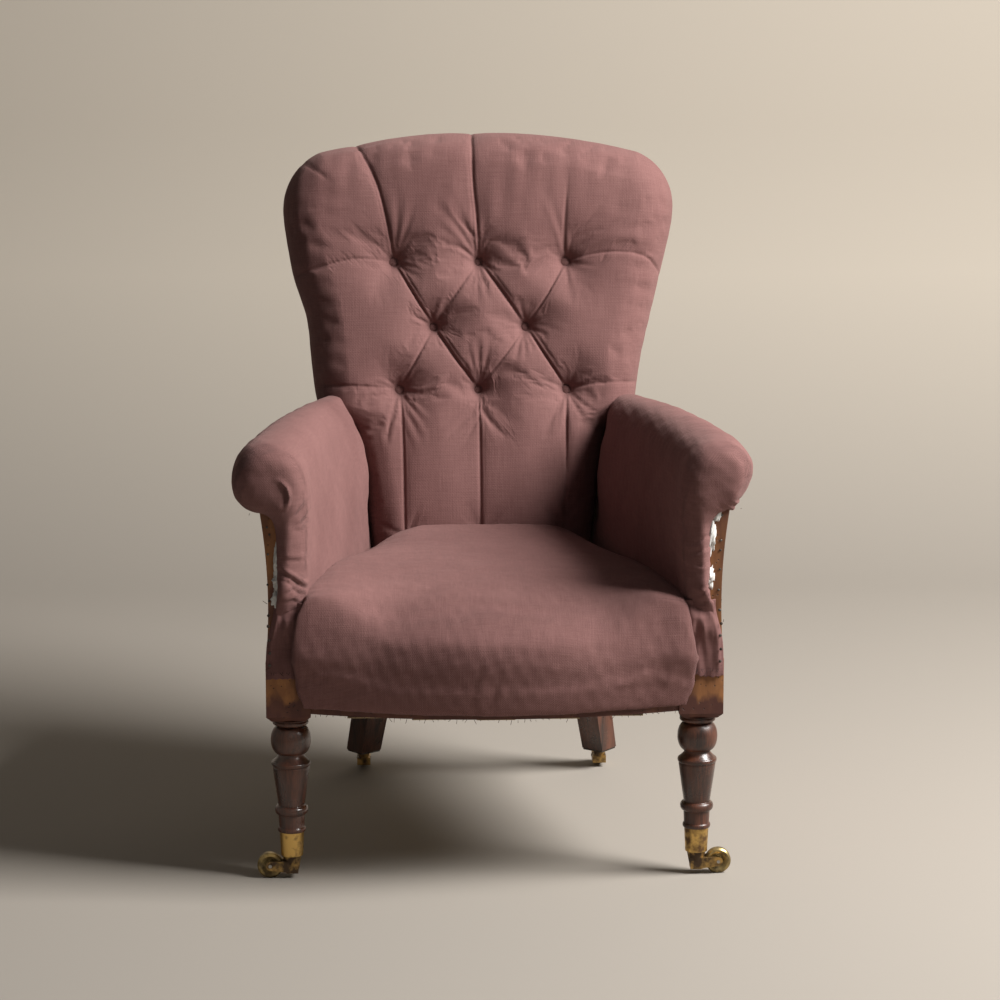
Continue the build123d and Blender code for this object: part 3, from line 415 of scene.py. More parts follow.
def settle(piece, pinned, limit, pressure=4.0, slack=0.004):
    """Lets cloth take the piece's shape under pressure, no point moving more than limit."""
    scene = bpy.context.scene
    start = read_points(piece.data)
    group = piece.vertex_groups.new(name="pins")
    group.add(np.flatnonzero(pinned).tolist(), 1.0, "REPLACE")
    cloth = piece.modifiers.new("cloth", "CLOTH")
    put(cloth.settings, quality=4, mass=0.25, tension_stiffness=12, compression_stiffness=12,
        shear_stiffness=4, bending_stiffness=0.3, use_pressure=True,
        uniform_pressure_force=pressure, shrink_min=-slack, vertex_group_mass="pins")
    cloth.settings.effector_weights.gravity = 0
    put(cloth.point_cache, frame_start=1, frame_end=SETTLE_STEPS)
    for step in range(1, SETTLE_STEPS + 1):
        scene.frame_set(step)
    baked(piece)
    scene.frame_set(1)
    piece.vertex_groups.clear()
    moved = read_points(piece.data) - start
    length = np.linalg.norm(moved, axis=1, keepdims=True)
    moved *= limit * np.tanh(length / limit) / np.maximum(length, 1e-9)
    write_points(piece.data, start + moved)


def nearest(points, path):
    """Where each point is along a path: distance, gap, the path's direction, share of the way."""
    steps = np.diff(path, axis=0)
    reach = reach_of(path)
    reach /= reach[-1]
    best = np.full(len(points), 9.0)
    gap, along, way = np.zeros_like(points), np.zeros_like(points), np.zeros(len(points))
    for i, step in enumerate(steps):
        share = np.clip((points - path[i]) @ step / (step @ step), 0, 1)
        off = points - path[i] - share[:, None] * step
        far = np.linalg.norm(off, axis=1)
        near = far < best
        best[near], gap[near] = far[near], off[near]
        along[near] = step / np.linalg.norm(step)
        way[near] = reach[i] + share[near] * (reach[i + 1] - reach[i])
    return best, gap, along, way


def fold(points, normals, path, depth, width, lip):
    """Height of a fold: a sharp valley along the path and a rounded lip on its left.

    The valley is depth (1 - sqrt(2x - x^2)) with x the distance over the width, and both
    fade out as the sine of the way along the path.
    """
    lip_place, lip_width = 0.55, 0.35  # of the fold's width
    best, gap, along, way = nearest(points, path * MM)
    side = np.sign(np.einsum("ij,ij->i", np.cross(along, gap), normals))
    x = np.clip(best / (width * MM), 0, 1)
    valley = -(1 - np.sqrt(np.maximum(2 * x - x * x, 0)))
    y = (best * side) / (width * MM) - lip_place
    crest = lip * np.exp(-((y / lip_width) ** 2))
    return depth * MM * (valley + crest) * np.sqrt(np.sin(pi * np.clip(way, 0.02, 0.98)))


def folds(points, normals, runs, margin):
    """Height of many folds, each a path in mm with its depth, width and lip."""
    depth = np.zeros(len(points))
    for path, deep, width, lip in runs:
        path = np.asarray(path, float)
        low = (path.min(axis=0) - margin * width) * MM
        high = (path.max(axis=0) + margin * width) * MM
        near = np.all((points > low) & (points < high), axis=1)
        if near.any():
            depth[near] += fold(points[near], normals[near], path, deep, width, lip)
    return depth


def stuffed(node, name, voxel, smoothing):
    """A copy of a CAD pad in an even net of faces, its edges eased."""
    piece = bpy.data.objects.new(name, nodes[node].data.copy())
    bpy.context.scene.collection.objects.link(piece)
    put(piece.modifiers.new("weld", "WELD"), merge_threshold=0.00002)
    remesh = piece.modifiers.new("remesh", "REMESH")
    put(remesh, mode="VOXEL", voxel_size=voxel, use_smooth_shade=True)
    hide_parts(node)
    return soften(piece, smoothing)


def soften(piece, times):
    """Eases a piece's shape by some rounds of smoothing."""
    put(piece.modifiers.new("smooth", "SMOOTH"), factor=0.5, iterations=times)
    return baked(piece)


def refine(piece):
    """One subdivision of a settled piece, applied."""
    put(piece.modifiers.new("divide", "SUBSURF"), levels=1, render_levels=1)
    return baked(piece)


# The buttoned back

back_outline_keys = [
    (0.092, 0.1813), (0.190, 0.1965), (0.290, 0.212), (0.404, 0.233), (0.528, 0.256),
    (0.612, 0.272), (0.614, 0.272),
]  # up the rake, and half the frame's width there
shoulder_middle = (0.19745, 0.612)
shoulder_radius = 0.07455
shoulder_end = radians(65.8)
crest_radius = 0.911
crest_top = 0.709
flank_v = 0.296  # under this the stuffing stays between the stiles
flank_draw = 0.036

button_uv = np.array([
    (-126, 526), (-3, 526), (123, 526), (-69, 431), (64, 431), (-119, 340), (-5, 340), (123, 340),
]) * MM
face_w = 0.084
edge_w = 0.026
edge_draw = 0.052
edge_cover = 0.012
tuft_depth = 0.036
button_w = 0.0575  # the height of a button's edge over the frame
button_radius = 0.0092


back_edge_keys = [
    # up the rake, and how far the cover stands out further on the sitter's right and left, in mm
    (0.0, 3, -3), (0.300, 6, -6), (0.345, 8, -7), (0.388, 5, -9), (0.450, 0, -6), (0.520, 8, -1),
    (0.585, 4, -1), (0.660, 1, 0), (0.760, 0, 0),
]


def half_outline():
    """The back frame's left edge from the seat to the middle of the crest, evenly spaced."""
    v = np.linspace(0.092, 0.612, 200)
    side = np.stack([smooth_line(back_outline_keys, v)[:, 0], v], axis=1)
    turn = np.linspace(0, shoulder_end, 60)[1:]
    bend = np.stack([np.cos(turn), np.sin(turn)], axis=1) * shoulder_radius + shoulder_middle
    low = np.arctan2(bend[-1, 1] - (crest_top - crest_radius), bend[-1, 0])
    turn = np.linspace(low, pi / 2, 100)[1:]
    crest = np.stack([np.cos(turn), np.sin(turn)], axis=1) * crest_radius
    crest[:, 1] += crest_top - crest_radius
    return np.concatenate([side, bend, crest])


def even(line, count):
    """The same line at evenly spaced places."""
    reach = reach_of(line)
    at = np.linspace(0, reach[-1], count)
    return np.stack([np.interp(at, reach, line[:, i]) for i in range(line.shape[1])], axis=1)


pleat_runs = [
    # path (u, v), depth, width of the fold's slope, width behind its crease, share where it ends
    ([(-126, 526), (-134, 575), (-150, 640), (-172, 690), (-190, 740)], 11.0, 98, 76, 9),
    ([(-3, 526), (-6, 590), (-11, 650), (-12, 760)], 12.0, 98, 76, 9),
    ([(123, 526), (121, 570), (124, 620), (130, 680)], 9.0, 98, 78, 0.9),
    ([(-126, 526), (-180, 528), (-225, 519), (-300, 500)], 4.5, 74, 56, 9),
    ([(123, 526), (175, 536), (225, 534), (262, 520), (300, 500)], 6.0, 74, 56, 9),
    ([(-126, 526), (-100, 480), (-69, 431)], 15.0, 72, 48, 9),
    ([(-3, 526), (28, 482), (64, 431)], 15.0, 72, 48, 9),
    ([(-3, 526), (-38, 476), (-69, 431)], 9.0, 68, 56, 9),
    ([(123, 526), (96, 476), (64, 431)], 10.5, 68, 56, 9),
    ([(-69, 431), (-40, 385), (-5, 340)], 15.0, 72, 48, 9),
    ([(64, 431), (92, 385), (123, 340)], 15.0, 72, 48, 9),
    ([(-69, 431), (-92, 388), (-119, 340)], 9.0, 68, 56, 9),
    ([(64, 431), (34, 388), (-5, 340)], 9.0, 68, 56, 9),
    ([(-119, 340), (-180, 344), (-245, 346)], 5.0, 74, 56, 9),
    ([(123, 340), (180, 347), (250, 348)], 5.5, 74, 56, 9),
    ([(-119, 340), (-114, 260), (-112, 60)], 10.0, 86, 72, 9),
    ([(-5, 340), (-4, 260), (-4, 60)], 10.0, 86, 72, 9),
    ([(123, 340), (120, 260), (118, 60)], 10.0, 86, 72, 9),
    ([(-226, 648), (-250, 668), (-280, 696)], 3.0, 16, 12, 9),
]


wrinkle_rays = [
    # button, angle from the sitter's left, length in mm, depth in mm
    (0, 62, 110, 1.3), (0, 78, 130, 1.0), (0, 48, 60, 1.2), (0, 135, 55, 0.7), (0, -24, 40, 1.6),
    (0, -40, 46, 1.4), (0, 8, 34, 0.9), (0, -75, 40, 0.8), (1, 143, 52, 2.0), (1, 118, 120, 1.2),
    (1, 104, 130, 1.0), (1, -84, 70, 1.5), (1, -98, 80, 1.3), (1, -112, 48, 1.0), (1, -38, 40, 1.0),
    (1, 60, 44, 0.9), (1, 76, 90, 0.8), (2, 96, 120, 1.0), (2, 70, 60, 0.8), (2, -18, 60, 0.9),
    (2, 16, 80, 0.7), (2, -88, 60, 0.8), (2, -128, 50, 1.0), (2, 150, 34, 0.7), (3, 152, 44, 2.2),
    (3, 168, 36, 0.8), (3, 58, 62, 1.8), (3, 42, 46, 1.3), (3, -62, 50, 1.8), (3, -78, 40, 1.1),
    (3, 5, 30, 1.0), (3, 100, 40, 0.9), (4, 100, 44, 1.0), (4, -98, 60, 1.5), (4, -112, 80, 1.7),
    (4, -82, 44, 1.1), (4, 20, 40, 0.9), (4, -30, 40, 1.0), (4, 165, 36, 0.8), (5, 140, 34, 1.5),
    (5, 162, 46, 1.2), (5, 40, 44, 1.7), (5, 60, 36, 1.1), (5, -18, 44, 1.4), (5, -62, 66, 1.8),
    (5, -112, 110, 1.2), (5, -76, 90, 0.8), (6, 84, 84, 1.8), (6, 70, 90, 1.7), (6, 98, 60, 1.2),
    (6, 54, 50, 1.2), (6, -104, 80, 1.1), (6, -78, 110, 1.2), (6, 150, 34, 0.8), (7, 160, 44, 1.0),
    (7, -112, 70, 1.8), (7, -122, 90, 1.4), (7, -100, 110, 1.0), (7, -52, 60, 1.1), (7, 8, 60, 1.1),
    (7, 60, 40, 0.8), (7, -70, 90, 0.8),
]


def back_depth(uv):
    """How far the cover is drawn in at each place, in metres.

    Each pleat and each button gives a depth that falls from its middle as 1 - sqrt(2x - x^2),
    which leaves round puffs between them; a pleat falls faster behind its crease. The depths
    are joined by their cubes, so that the deepest wins and corners stay soft.
    """
    total = np.zeros(len(uv))
    creases = np.zeros(len(uv))
    eased = 0.0016  # rounds the bottom of each crease to what the net can show
    puff, blend = 1.3, 3
    for keys, depth, front, behind, ends in pleat_runs:
        spots = np.arange(len(keys))
        path = smooth_line(np.c_[spots, keys], np.linspace(0, spots[-1], 4 * spots[-1] + 1)) * MM
        best, gap, along, way = nearest(uv, path)
        side = along[:, 0] * gap[:, 1] - along[:, 1] * gap[:, 0]
        soft_best = np.sqrt(best**2 + eased**2)
        uneven = ripple(np.c_[uv, 0 * uv[:, :1]], 0.09, len(keys)) * 4
        slope = behind + (front + uneven - behind) * (1 - ramp(side / soft_best, -1, 1))
        x = np.clip(soft_best / (slope * MM), 0, 1)
        soft = (1 - np.sqrt(np.maximum(2 * x - x * x, 0))) ** puff
        last = 1 - ramp(way, ends * 0.3, ends)
        line = (0.6 + 0.12 * depth) * np.exp(-((best / 0.0023) ** 2))
        second = np.exp(-(((side - 0.0058) / 0.002) ** 2) - (best / 0.02) ** 2)
        second *= 1 - ramp(way, 0.5, 0.9)
        creases += (line + 0.9 * second * ramp(depth, 8, 14)) * last * MM
        hold = (1 - 0.35 * np.sin(pi * np.clip(way, 0, 1))) * last
        total += (depth * MM * soft * hold) ** blend
    for place in button_uv:
        far = np.linalg.norm(uv - place, axis=1)
        x = np.clip((far - button_radius * 0.5) / 0.100, 0, 1)
        total += (tuft_depth * (1 - np.sqrt(np.maximum(2 * x - x * x, 0))) ** puff) ** blend
        creases *= ramp(far, 0.004, 0.016)
    depth = total ** (1 / blend) + np.minimum(creases, 0.0026)
    for button, angle, length, deep in wrinkle_rays:
        way = np.array([cos(radians(angle)), sin(radians(angle))])
        gap = uv - button_uv[button]
        along = gap @ way / MM
        across = (gap[:, 1] * way[0] - gap[:, 0] * way[1]) / MM - 0.0016 * along**2
        wide = 1.9 + 0.045 * np.maximum(along, 0)
        fade = ramp(along, 7, 15) * (1 - ramp(along, 0.35 * length, length))
        crease = np.exp(-((across / wide) ** 2))
        lip = 0.55 * np.exp(-(((across - 2.1 * wide) / wide) ** 2))
        depth += deep * MM * fade * (crease - lip)
    return depth


def side_wrinkles(uv):
    """Fine level wrinkles where the cover is pulled round the sides, and long ones under the crest."""
    u, v = uv[:, 0], uv[:, 1]
    sides = ramp(np.abs(u), 0.16, 0.23) * ramp(v, 0.34, 0.38) * (1 - ramp(v, 0.6, 0.66))
    level = ripple(np.stack([u * 0.25, v, 0 * v], axis=1), 0.022, 4)
    crown = ramp(v, 0.56, 0.6) * (1 - 0.6 * ramp(v, 0.68, 0.72))
    upright = ripple(np.stack([u, v * 0.22, 0 * v], axis=1), 0.03, 5)
    skirt = (1 - ramp(v, 0.28, 0.33)) * ripple(np.stack([u, v * 0.12, 0 * v], axis=1), 0.035, 6)
    return 0.0007 * sides * level + 0.0006 * crown * upright + 0.0009 * skirt


def back_surface(loops, around):
    """Points, weave and depth of the cover, as loops from its middle to the back of the frame.

    Inside, each loop is the edge of the face drawn towards the middle. Outside, each is the
    outline moved out by 12 mm less 52 (1 - sin a) at a height of 26 + 58 cos a, for a from
    0 to 90 degrees, and the last ones turn in behind the frame.
    """
    half = even(half_outline(), 500)
    drop = flank_draw * (1 - ramp(half[:, 1], flank_v - 0.022, flank_v + 0.022))
    out = outward(half)
    run = 13  # points on each side over which the directions are averaged
    near = np.pad(out, ((run, run), (0, 0)), mode="edge")
    near[-run:] = out[-run - 1:-1][::-1] * (-1, 1)
    out = np.stack([np.convolve(c, np.ones(2 * run + 1), "valid") for c in near.T], axis=1)
    out /= np.linalg.norm(out, axis=1, keepdims=True)
    rail = np.concatenate([half, out, drop[:, None]], axis=1)
    mirror = rail[::-1][1:] * np.array([-1, 1, -1, 1, 1])
    rail = np.concatenate([rail, mirror])
    sides = smooth_line(back_edge_keys, rail[:, 1]) * MM
    rail[:, 4] -= np.where(rail[:, 0] < 0, sides[:, 0], sides[:, 1])
    foot = rail[-1] + (rail[0] - rail[-1]) * np.linspace(0, 1, 60)[1:-1, None]
    ring = np.concatenate([rail, foot, rail[:1]])

    def loop(grow):
        return ring[:, :2] + ring[:, 2:4] * (grow - ring[:, 4:5])

    reach = reach_of(loop(edge_cover - edge_draw))
    at = np.linspace(0, reach[-1], around + 1)[:-1][::-1]
    ring = np.stack([np.interp(at, reach, column) for column in ring.T], axis=1)

    inner = loop(edge_cover - edge_draw)
    middle = np.array([0.0, 0.398])
    shares = np.linspace(0.004, 1, loops)
    uv = [middle + (inner - middle) * share for share in shares]
    w, way, lean = [np.full(around, face_w)] * loops, list(uv), [np.zeros(around)] * loops
    turns = np.linspace(0, pi / 2, max(loops // 8, 8))[1:]
    profile = [
        (edge_cover - edge_draw * (1 - sin(a)), edge_w + (face_w - edge_w) * cos(a), a)
        for a in turns
    ]
    profile += [(edge_cover - d, height, pi / 2) for d, height in (
        (0.0, 0.018), (0.0008, 0.010), (0.002, 0.002), (0.0034, -0.006), (0.005, -0.0125),
    )]
    profile += [(0.001, -0.0166, pi * 0.8), (-0.005, -0.0178, pi), (-0.013, -0.0179, pi)]
    last, reach = (edge_cover - edge_draw, face_w), 0.0
    for grow, height, angle in profile:
        reach += float(np.hypot(grow - last[0], height - last[1]))
        last = (grow, height)
        uv.append(loop(grow))
        w.append(np.full(around, height))
        way.append(inner + ring[:, 2:4] * reach)
        lean.append(np.full(around, angle))
    count = len(uv)
    uv, w, way, lean = map(np.concatenate, (uv, w, way, lean))
    out2 = np.tile(ring[:, 2:4], (count, 1)) * np.sin(lean)[:, None]
    cloth = back_depth(way) + side_wrinkles(way)
    cloth *= 1 - ramp(lean, pi * 0.32, pi * 0.5) * 0.72
    depth = cloth * ramp(w, -0.016, 0.010)
    shift = depth[:, None] * np.column_stack([out2, np.cos(lean)])
    crown_rise = 0.007 * (1 - np.clip(uv[:, 0] / 0.27, -1, 1) ** 2) ** 2 * ramp(w, 0.05, face_w)
    points = raked(uv[:, 0] - shift[:, 0], uv[:, 1] - shift[:, 1], w + crown_rise - shift[:, 2])
    held = (depth > 0.012) | (w < 0.03) | (uv[:, 1] < 0.13)
    held |= np.linalg.norm(uv - middle, axis=1) < 0.02
    return points.reshape(count, around, 3), way, held


def spread(grid, rows, columns):
    """The same closed loops of values at another count of loops and of places round them."""
    grid = np.concatenate([grid, grid[:, :1]], axis=1)
    r = np.linspace(0, grid.shape[0] - 1, rows)
    c = np.linspace(0, grid.shape[1] - 1, columns + 1)[:-1]
    i, j = np.minimum(r.astype(int), len(grid) - 2), np.minimum(c.astype(int), grid.shape[1] - 2)
    a, b = (r - i)[:, None, None], (c - j)[None, :, None]
    near = grid[i][:, j] * (1 - b) + grid[i][:, j + 1] * b
    far = grid[i + 1][:, j] * (1 - b) + grid[i + 1][:, j + 1] * b
    return near * (1 - a) + far * a


def back_cover(loops=176, around=1150):
    """The buttoned cover: a fine net, moved as cloth moves the same surface in a coarse net."""
    points, way, _ = back_surface(loops, around)
    start, _, held = back_surface(64, 330)
    coarse = make_mesh("coarse_back", start, quads(*start.shape[:2], wrap=True))
    settle(coarse, held, 0.0035, pressure=3.0, slack=0.012)
    moved = read_points(coarse.data).reshape(start.shape) - start
    bpy.data.objects.remove(coarse)
    face = spread(moved[:64], loops, around)
    edge = spread(moved[63:], len(points) - loops + 1, around)[1:]
    points = points + np.concatenate([face, edge])
    piece = make_mesh("back_cover", points, quads(*points.shape[:2], wrap=True))
    set_weave(piece, way[:, 0], way[:, 1])
    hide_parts("back_pad")
    return piece


# The seat and the arms


def front_folds(piece, runs):
    """Adds folds that are laid out as seen from the front, to what faces the front."""
    points = read_points(piece.data)
    normals = read_points(piece.data, "normal")
    facing = np.array([0.0, -1.0, 0.0]) + 0 * points
    reach = 1 - ramp(points[:, 1], post_front + 0.01, post_front + 0.04)
    runs = [([(x, 0, z) for x, z in path], *sizes) for path, *sizes in runs]
    depth = folds(points * np.array([1.0, 0.0, 1.0]), facing, runs, 3)
    write_points(piece.data, points + normals * (depth * reach)[:, None])


def world_folds(piece, runs, fine=0.0006, seed=3):
    """Adds folds and a faint unevenness."""
    points = read_points(piece.data)
    normals = read_points(piece.data, "normal")
    depth = fine * ripple(points, 0.05, seed) + 0.5 * fine * ripple(points, 0.018, seed + 1)
    depth += folds(points, normals, runs, 2.5)
    write_points(piece.data, points + normals * depth[:, None])


seat_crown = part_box("seat_pad")[1].z


def seat_cover():
    """The crowned seat, pulled down over the front rail, with soft upright folds low in front."""
    piece = stuffed("seat_pad", "seat_cover", 0.006, 12)
    start = read_points(piece.data)
    x, y, z = np.abs(start[:, 0]), start[:, 1].copy(), start[:, 2].copy()
    half_front, narrowing, long = 0.273, 0.121, 0.498  # half its width, and how that falls
    beside = x / (half_front - narrowing * np.clip((y - leg_y + 0.040) / long, 0, 1))
    back_part = ramp(y, -0.14, 0.12)

    # The top is filled out to its sides, and eased down at the rear
    high = seat_crown - 0.010 * beside**2 - 0.022 * (1 - ramp(y, -0.375, -0.325)) - 0.004 * back_part
    fuller = ramp(beside, 0.45, 0.8) * ramp(z, 0.318, 0.352) * ramp(y, -0.378, -0.345) * (1 - back_part)
    start[:, 2] += np.maximum(high - z, 0) * fuller * 0.85
    start[:, 2] += 0.006 * ramp(-start[:, 0], 0.12, 0.22) * ramp(z, 0.30, 0.34) * (1 - back_part)
    start[:, 2] -= 0.004 * back_part * ramp(z, 0.34, 0.37)
    start[:, 2] -= 0.006 * ramp(beside, 0.6, 1.0) * back_part * ramp(z, 0.34, 0.37)

    # The front spreads over the posts, its corners come forward and its middle is fullest
    front = 1 - ramp(y, -0.345, -0.315)
    wider = 0.008 * ramp(z, 0.24, 0.30) + 0.012 * ramp(z, 0.315, 0.350)
    wider += 0.009 * ramp(-start[:, 0], 0.15, 0.22) * ramp(z, 0.29, 0.33)
    start[:, 0] += np.sign(start[:, 0]) * wider * ramp(beside, 0.55, 0.9) * front
    start[:, 1] -= 0.007 * ramp(x, 0.20, 0.255) * front * ramp(z, 0.24, 0.29)
    corner = ramp(x, 0.14, 0.262) * (1 - ramp(start[:, 1], -0.305, -0.262))
    start[:, 1] -= 0.018 * corner * ramp(z, 0.27, 0.318) * (1 - ramp(z, 0.355, 0.385))
    start[:, 1] += 0.009 * np.minimum(x / 0.24, 1) ** 2 * front
    bulge = 0.015 * (1 - np.minimum(x / 0.26, 1) ** 2) - 0.004
    start[:, 1] -= bulge * front * ramp(z, 0.255, 0.345)

    # Its foot draws in to the rail, and its upper edge is rounded off
    start[:, 1] += 0.006 * (1 - ramp(z, 0.232, 0.315)) * front * (1 - ramp(x, 0.19, 0.245))
    start[:, 2] -= 0.010 * (1 - ramp(y, -0.382, -0.300)) * ramp(z, 0.325, 0.365) * (1 - ramp(x, 0.15, 0.23))
    write_points(piece.data, start)
    soften(piece, 4)
    start = read_points(piece.data)
    settle(piece, start[:, 2] < rail_high - 0.03, 0.002)
    refine(piece)
    y = leg_y * 1000
    runs = [
        ([(-20, y - 88, 300), (-28, y - 88, 262), (-22, y - 82, 236)], 2.2, 16, 0.5),
        ([(6, y - 88, 292), (-2, y - 88, 255), (4, y - 82, 236)], 1.8, 14, 0.5),
        ([(196, y - 70, 306), (180, y - 74, 268), (186, y - 70, 236)], 2.0, 18, 0.5),
        ([(232, y - 60, 296), (222, y - 64, 262), (228, y - 58, 236)], 1.8, 14, 0.5),
        ([(-130, y - 82, 282), (-124, y - 84, 250), (-128, y - 78, 234)], 0.8, 14, 0.4),
        ([(110, y - 84, 282), (104, y - 86, 252), (108, y - 80, 234)], 1.0, 14, 0.4),
    ]
    world_folds(piece, runs)
    points = read_points(piece.data)
    normal = read_points(piece.data, "normal")
    flank = ramp(np.abs(normal[:, 0]), 0.5, 0.85) * np.sign(points[:, 0])
    u = points[:, 0] - flank * (points[:, 2] - seat_crown)
    v = points[:, 1] + (points[:, 2] - seat_crown) * ramp(-normal[:, 1], 0.3, 0.7)
    set_weave(piece, u, v)
    return dress(piece, cloth_finish)


arm_front = (0.293, 0.541)  # the roll's middle over the post, x and z
arm_back = (0.203, 0.524)  # and where it meets the back
arm_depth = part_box("arm_pad_left")[1].y - post_front


# Folds as seen from the front: (x, z) places in mm, depth, width and lip
arm_folds_left = [
    ([(338, 512), (343, 520), (344, 530), (341, 540)], 3.0, 6, 0.9),
    ([(326, 500), (318, 508), (309, 512)], 2.2, 6, 0.7),
    ([(316, 494), (308, 503), (298, 508)], 2.4, 7, 0.7),
    ([(306, 490), (297, 500), (286, 506)], 2.0, 7, 0.6),
    ([(284, 466), (270, 462), (256, 452)], 2.2, 7, 0.6),
    ([(284, 452), (270, 446), (254, 440)], 2.0, 7, 0.6),
    ([(280, 430), (268, 424), (256, 428)], 1.6, 7, 0.6),
    ([(284, 404), (272, 396), (262, 398)], 2.0, 7, 0.6),
    ([(290, 388), (278, 394), (264, 386)], 2.2, 6, 0.7),
    ([(292, 376), (280, 380), (266, 372)], 1.8, 6, 0.6),
]
arm_folds_right = [
    ([(-280, 539), (-272, 531), (-269, 521), (-272, 508)], 4.5, 7, 1.0),
    ([(-282, 500), (-270, 502), (-262, 508)], 1.6, 9, 0.5),
    ([(-262, 492), (-250, 502), (-243, 512)], 2.0, 7, 0.7),
    ([(-256, 480), (-243, 490), (-236, 502)], 2.0, 7, 0.7),
    ([(-262, 476), (-252, 474), (-242, 480)], 1.5, 7, 0.5),
    ([(-278, 438), (-262, 436), (-244, 434)], 2.0, 8, 0.6),
    ([(-279, 422), (-262, 411), (-244, 394)], 4.0, 8, 0.8),
    ([(-278, 412), (-268, 408), (-258, 398)], 2.2, 6, 0.7),
    ([(-272, 392), (-262, 398), (-248, 388)], 2.4, 6, 0.8),
    ([(-276, 380), (-262, 384), (-250, 372)], 2.0, 6, 0.7),
    ([(-274, 366), (-262, 360), (-252, 348)], 1.8, 6, 0.6),
]


def arm_cover(side, sign):
    """One rolled arm with its scroll, the folds drawn round the nose and down the facing."""
    piece = stuffed(f"arm_pad_{side}", f"arm_cover_{side}", 0.0055, 18)
    start = read_points(piece.data)
    x, y, z = sign * start[:, 0], start[:, 1], start[:, 2]
    share = np.clip((y - post_front) / arm_depth, 0, 1)
    middle = arm_front[0] + (arm_back[0] - arm_front[0]) * share

    # The facing rounds in towards the front, and stands out at the rear
    t = np.clip((post_front + 0.046 - y) / 0.060, 0, 1)
    inset = (0.006 + 0.005 * ramp(z, 0.385, 0.44)) * (1 - np.sqrt(1 - t * t))
    out = inset * (1 - ramp(z, 0.47, 0.53)) * np.clip((0.291 - x) / 0.05, 0, 1)
    inner = 1 - ramp(x - middle, -0.030, 0.002)
    rear = ramp(share, 0.3, 1.0)
    out += 0.011 * rear * inner * (1 - ramp(z, 0.39, 0.475))

    # The two arms differ: in how the roll hangs outside, and in how much wood it leaves bare
    front = 1 - ramp(y, post_front - 0.004, post_front + 0.004)
    if sign > 0:
        bare = 0.42
        out -= 0.012 * ramp(x, 0.30, 0.335) * (1 - ramp(z, 0.50, 0.56)) * (1 - ramp(share, 0.1, 0.5))
        out -= 0.003 * ramp(x, 0.31, 0.335) * (1 - ramp(share, 0.1, 0.5))
    else:
        bare = 0.24
        out += 0.014 * rear * inner * ramp(z, 0.50, 0.57)
    bare *= front * ramp(z, 0.365, 0.4) * (1 - ramp(z, 0.475, 0.505))
    out -= np.maximum(x - 0.262, 0) * bare
    start[:, 0] += sign * out

    # The front sinks in beside the bare wood and thins to the post at its foot
    hollow = ramp(z, 0.39, 0.43) * (1 - ramp(z, 0.475, 0.515))
    start[:, 1] += 0.011 * ramp(x, 0.243, 0.290) * front * hollow
    thin = (1 - ramp(z, 0.345, 0.400)) * front
    start[:, 1] += (post_front - 0.003 - y) * thin * 0.95
    start[:, 2] += 0.007 * np.sin(pi * share) ** 1.5 * ramp(z, 0.5, 0.58)
    write_points(piece.data, start)
    soften(piece, 9)
    start = read_points(piece.data)
    settle(piece, start[:, 2] < 0.34, 0.0025)
    refine(piece)
    front_folds(piece, arm_folds_left if sign > 0 else arm_folds_right)
    world_folds(piece, [], seed=7 if sign > 0 else 11)

    # Behind the stump the cover stays inside the sacking
    points = read_points(piece.data)
    y, z = points[:, 1], points[:, 2]
    past = sign * points[:, 0] - arm_lining(y, z, 0.0045)
    lined = (y > stump_rear - 0.004) & (z < 0.502) & (past < 0.016)
    points[:, 0] -= sign * np.where(lined, np.maximum(past, 0), 0)
    write_points(piece.data, points)

    # The threads run round the roll, and straight down the facing
    share = np.clip((points[:, 1] - post_front) / arm_depth, 0, 1)
    x = sign * points[:, 0] - (arm_front[0] + (arm_back[0] - arm_front[0]) * share)
    z = points[:, 2] - (arm_front[1] + (arm_back[1] - arm_front[1]) * share)
    round_arc = np.arctan2(z, -x) * 0.05
    facing = ramp(-read_points(piece.data, "normal")[:, 1], 0.35, 0.75)
    u = np.where(z > 0, round_arc, z) * (1 - facing) + z * facing
    set_weave(piece, u, points[:, 1] - x * facing)
    return dress(piece, cloth_finish)


# Solid trimmings: turned legs, buttons, springs, webs and twine


def lathe(name, profile, middle, sides=72):
    """A turned piece from (height, radius) pairs, its ends closed; middle is its axis (x, y)."""
    profile = np.asarray(profile, float)
    ends = [[profile[0, 0], 0.00001], *profile, [profile[-1, 0], 0.00001]]
    profile = np.asarray(ends)
    turn = np.linspace(0, 2 * pi, sides, endpoint=False)
    x = middle[0] + profile[:, 1:] * np.cos(turn)
    y = middle[1] + profile[:, 1:] * np.sin(turn)
    z = np.repeat(profile[:, :1], sides, axis=1)
    points = np.stack([x, y, z], axis=-1)
    return make_mesh(name, points, quads(len(profile), sides, wrap=True))


def bead(bottom, top, root, bulge, count=11):
    """A half-round moulding: its radius is root + (bulge - root) sin a up its height."""
    a = np.linspace(0, pi, count)
    z = (bottom + top) / 2 - (top - bottom) / 2 * np.cos(a)
    return np.stack([z, root + (bulge - root) * np.sin(a)], axis=1) * MM


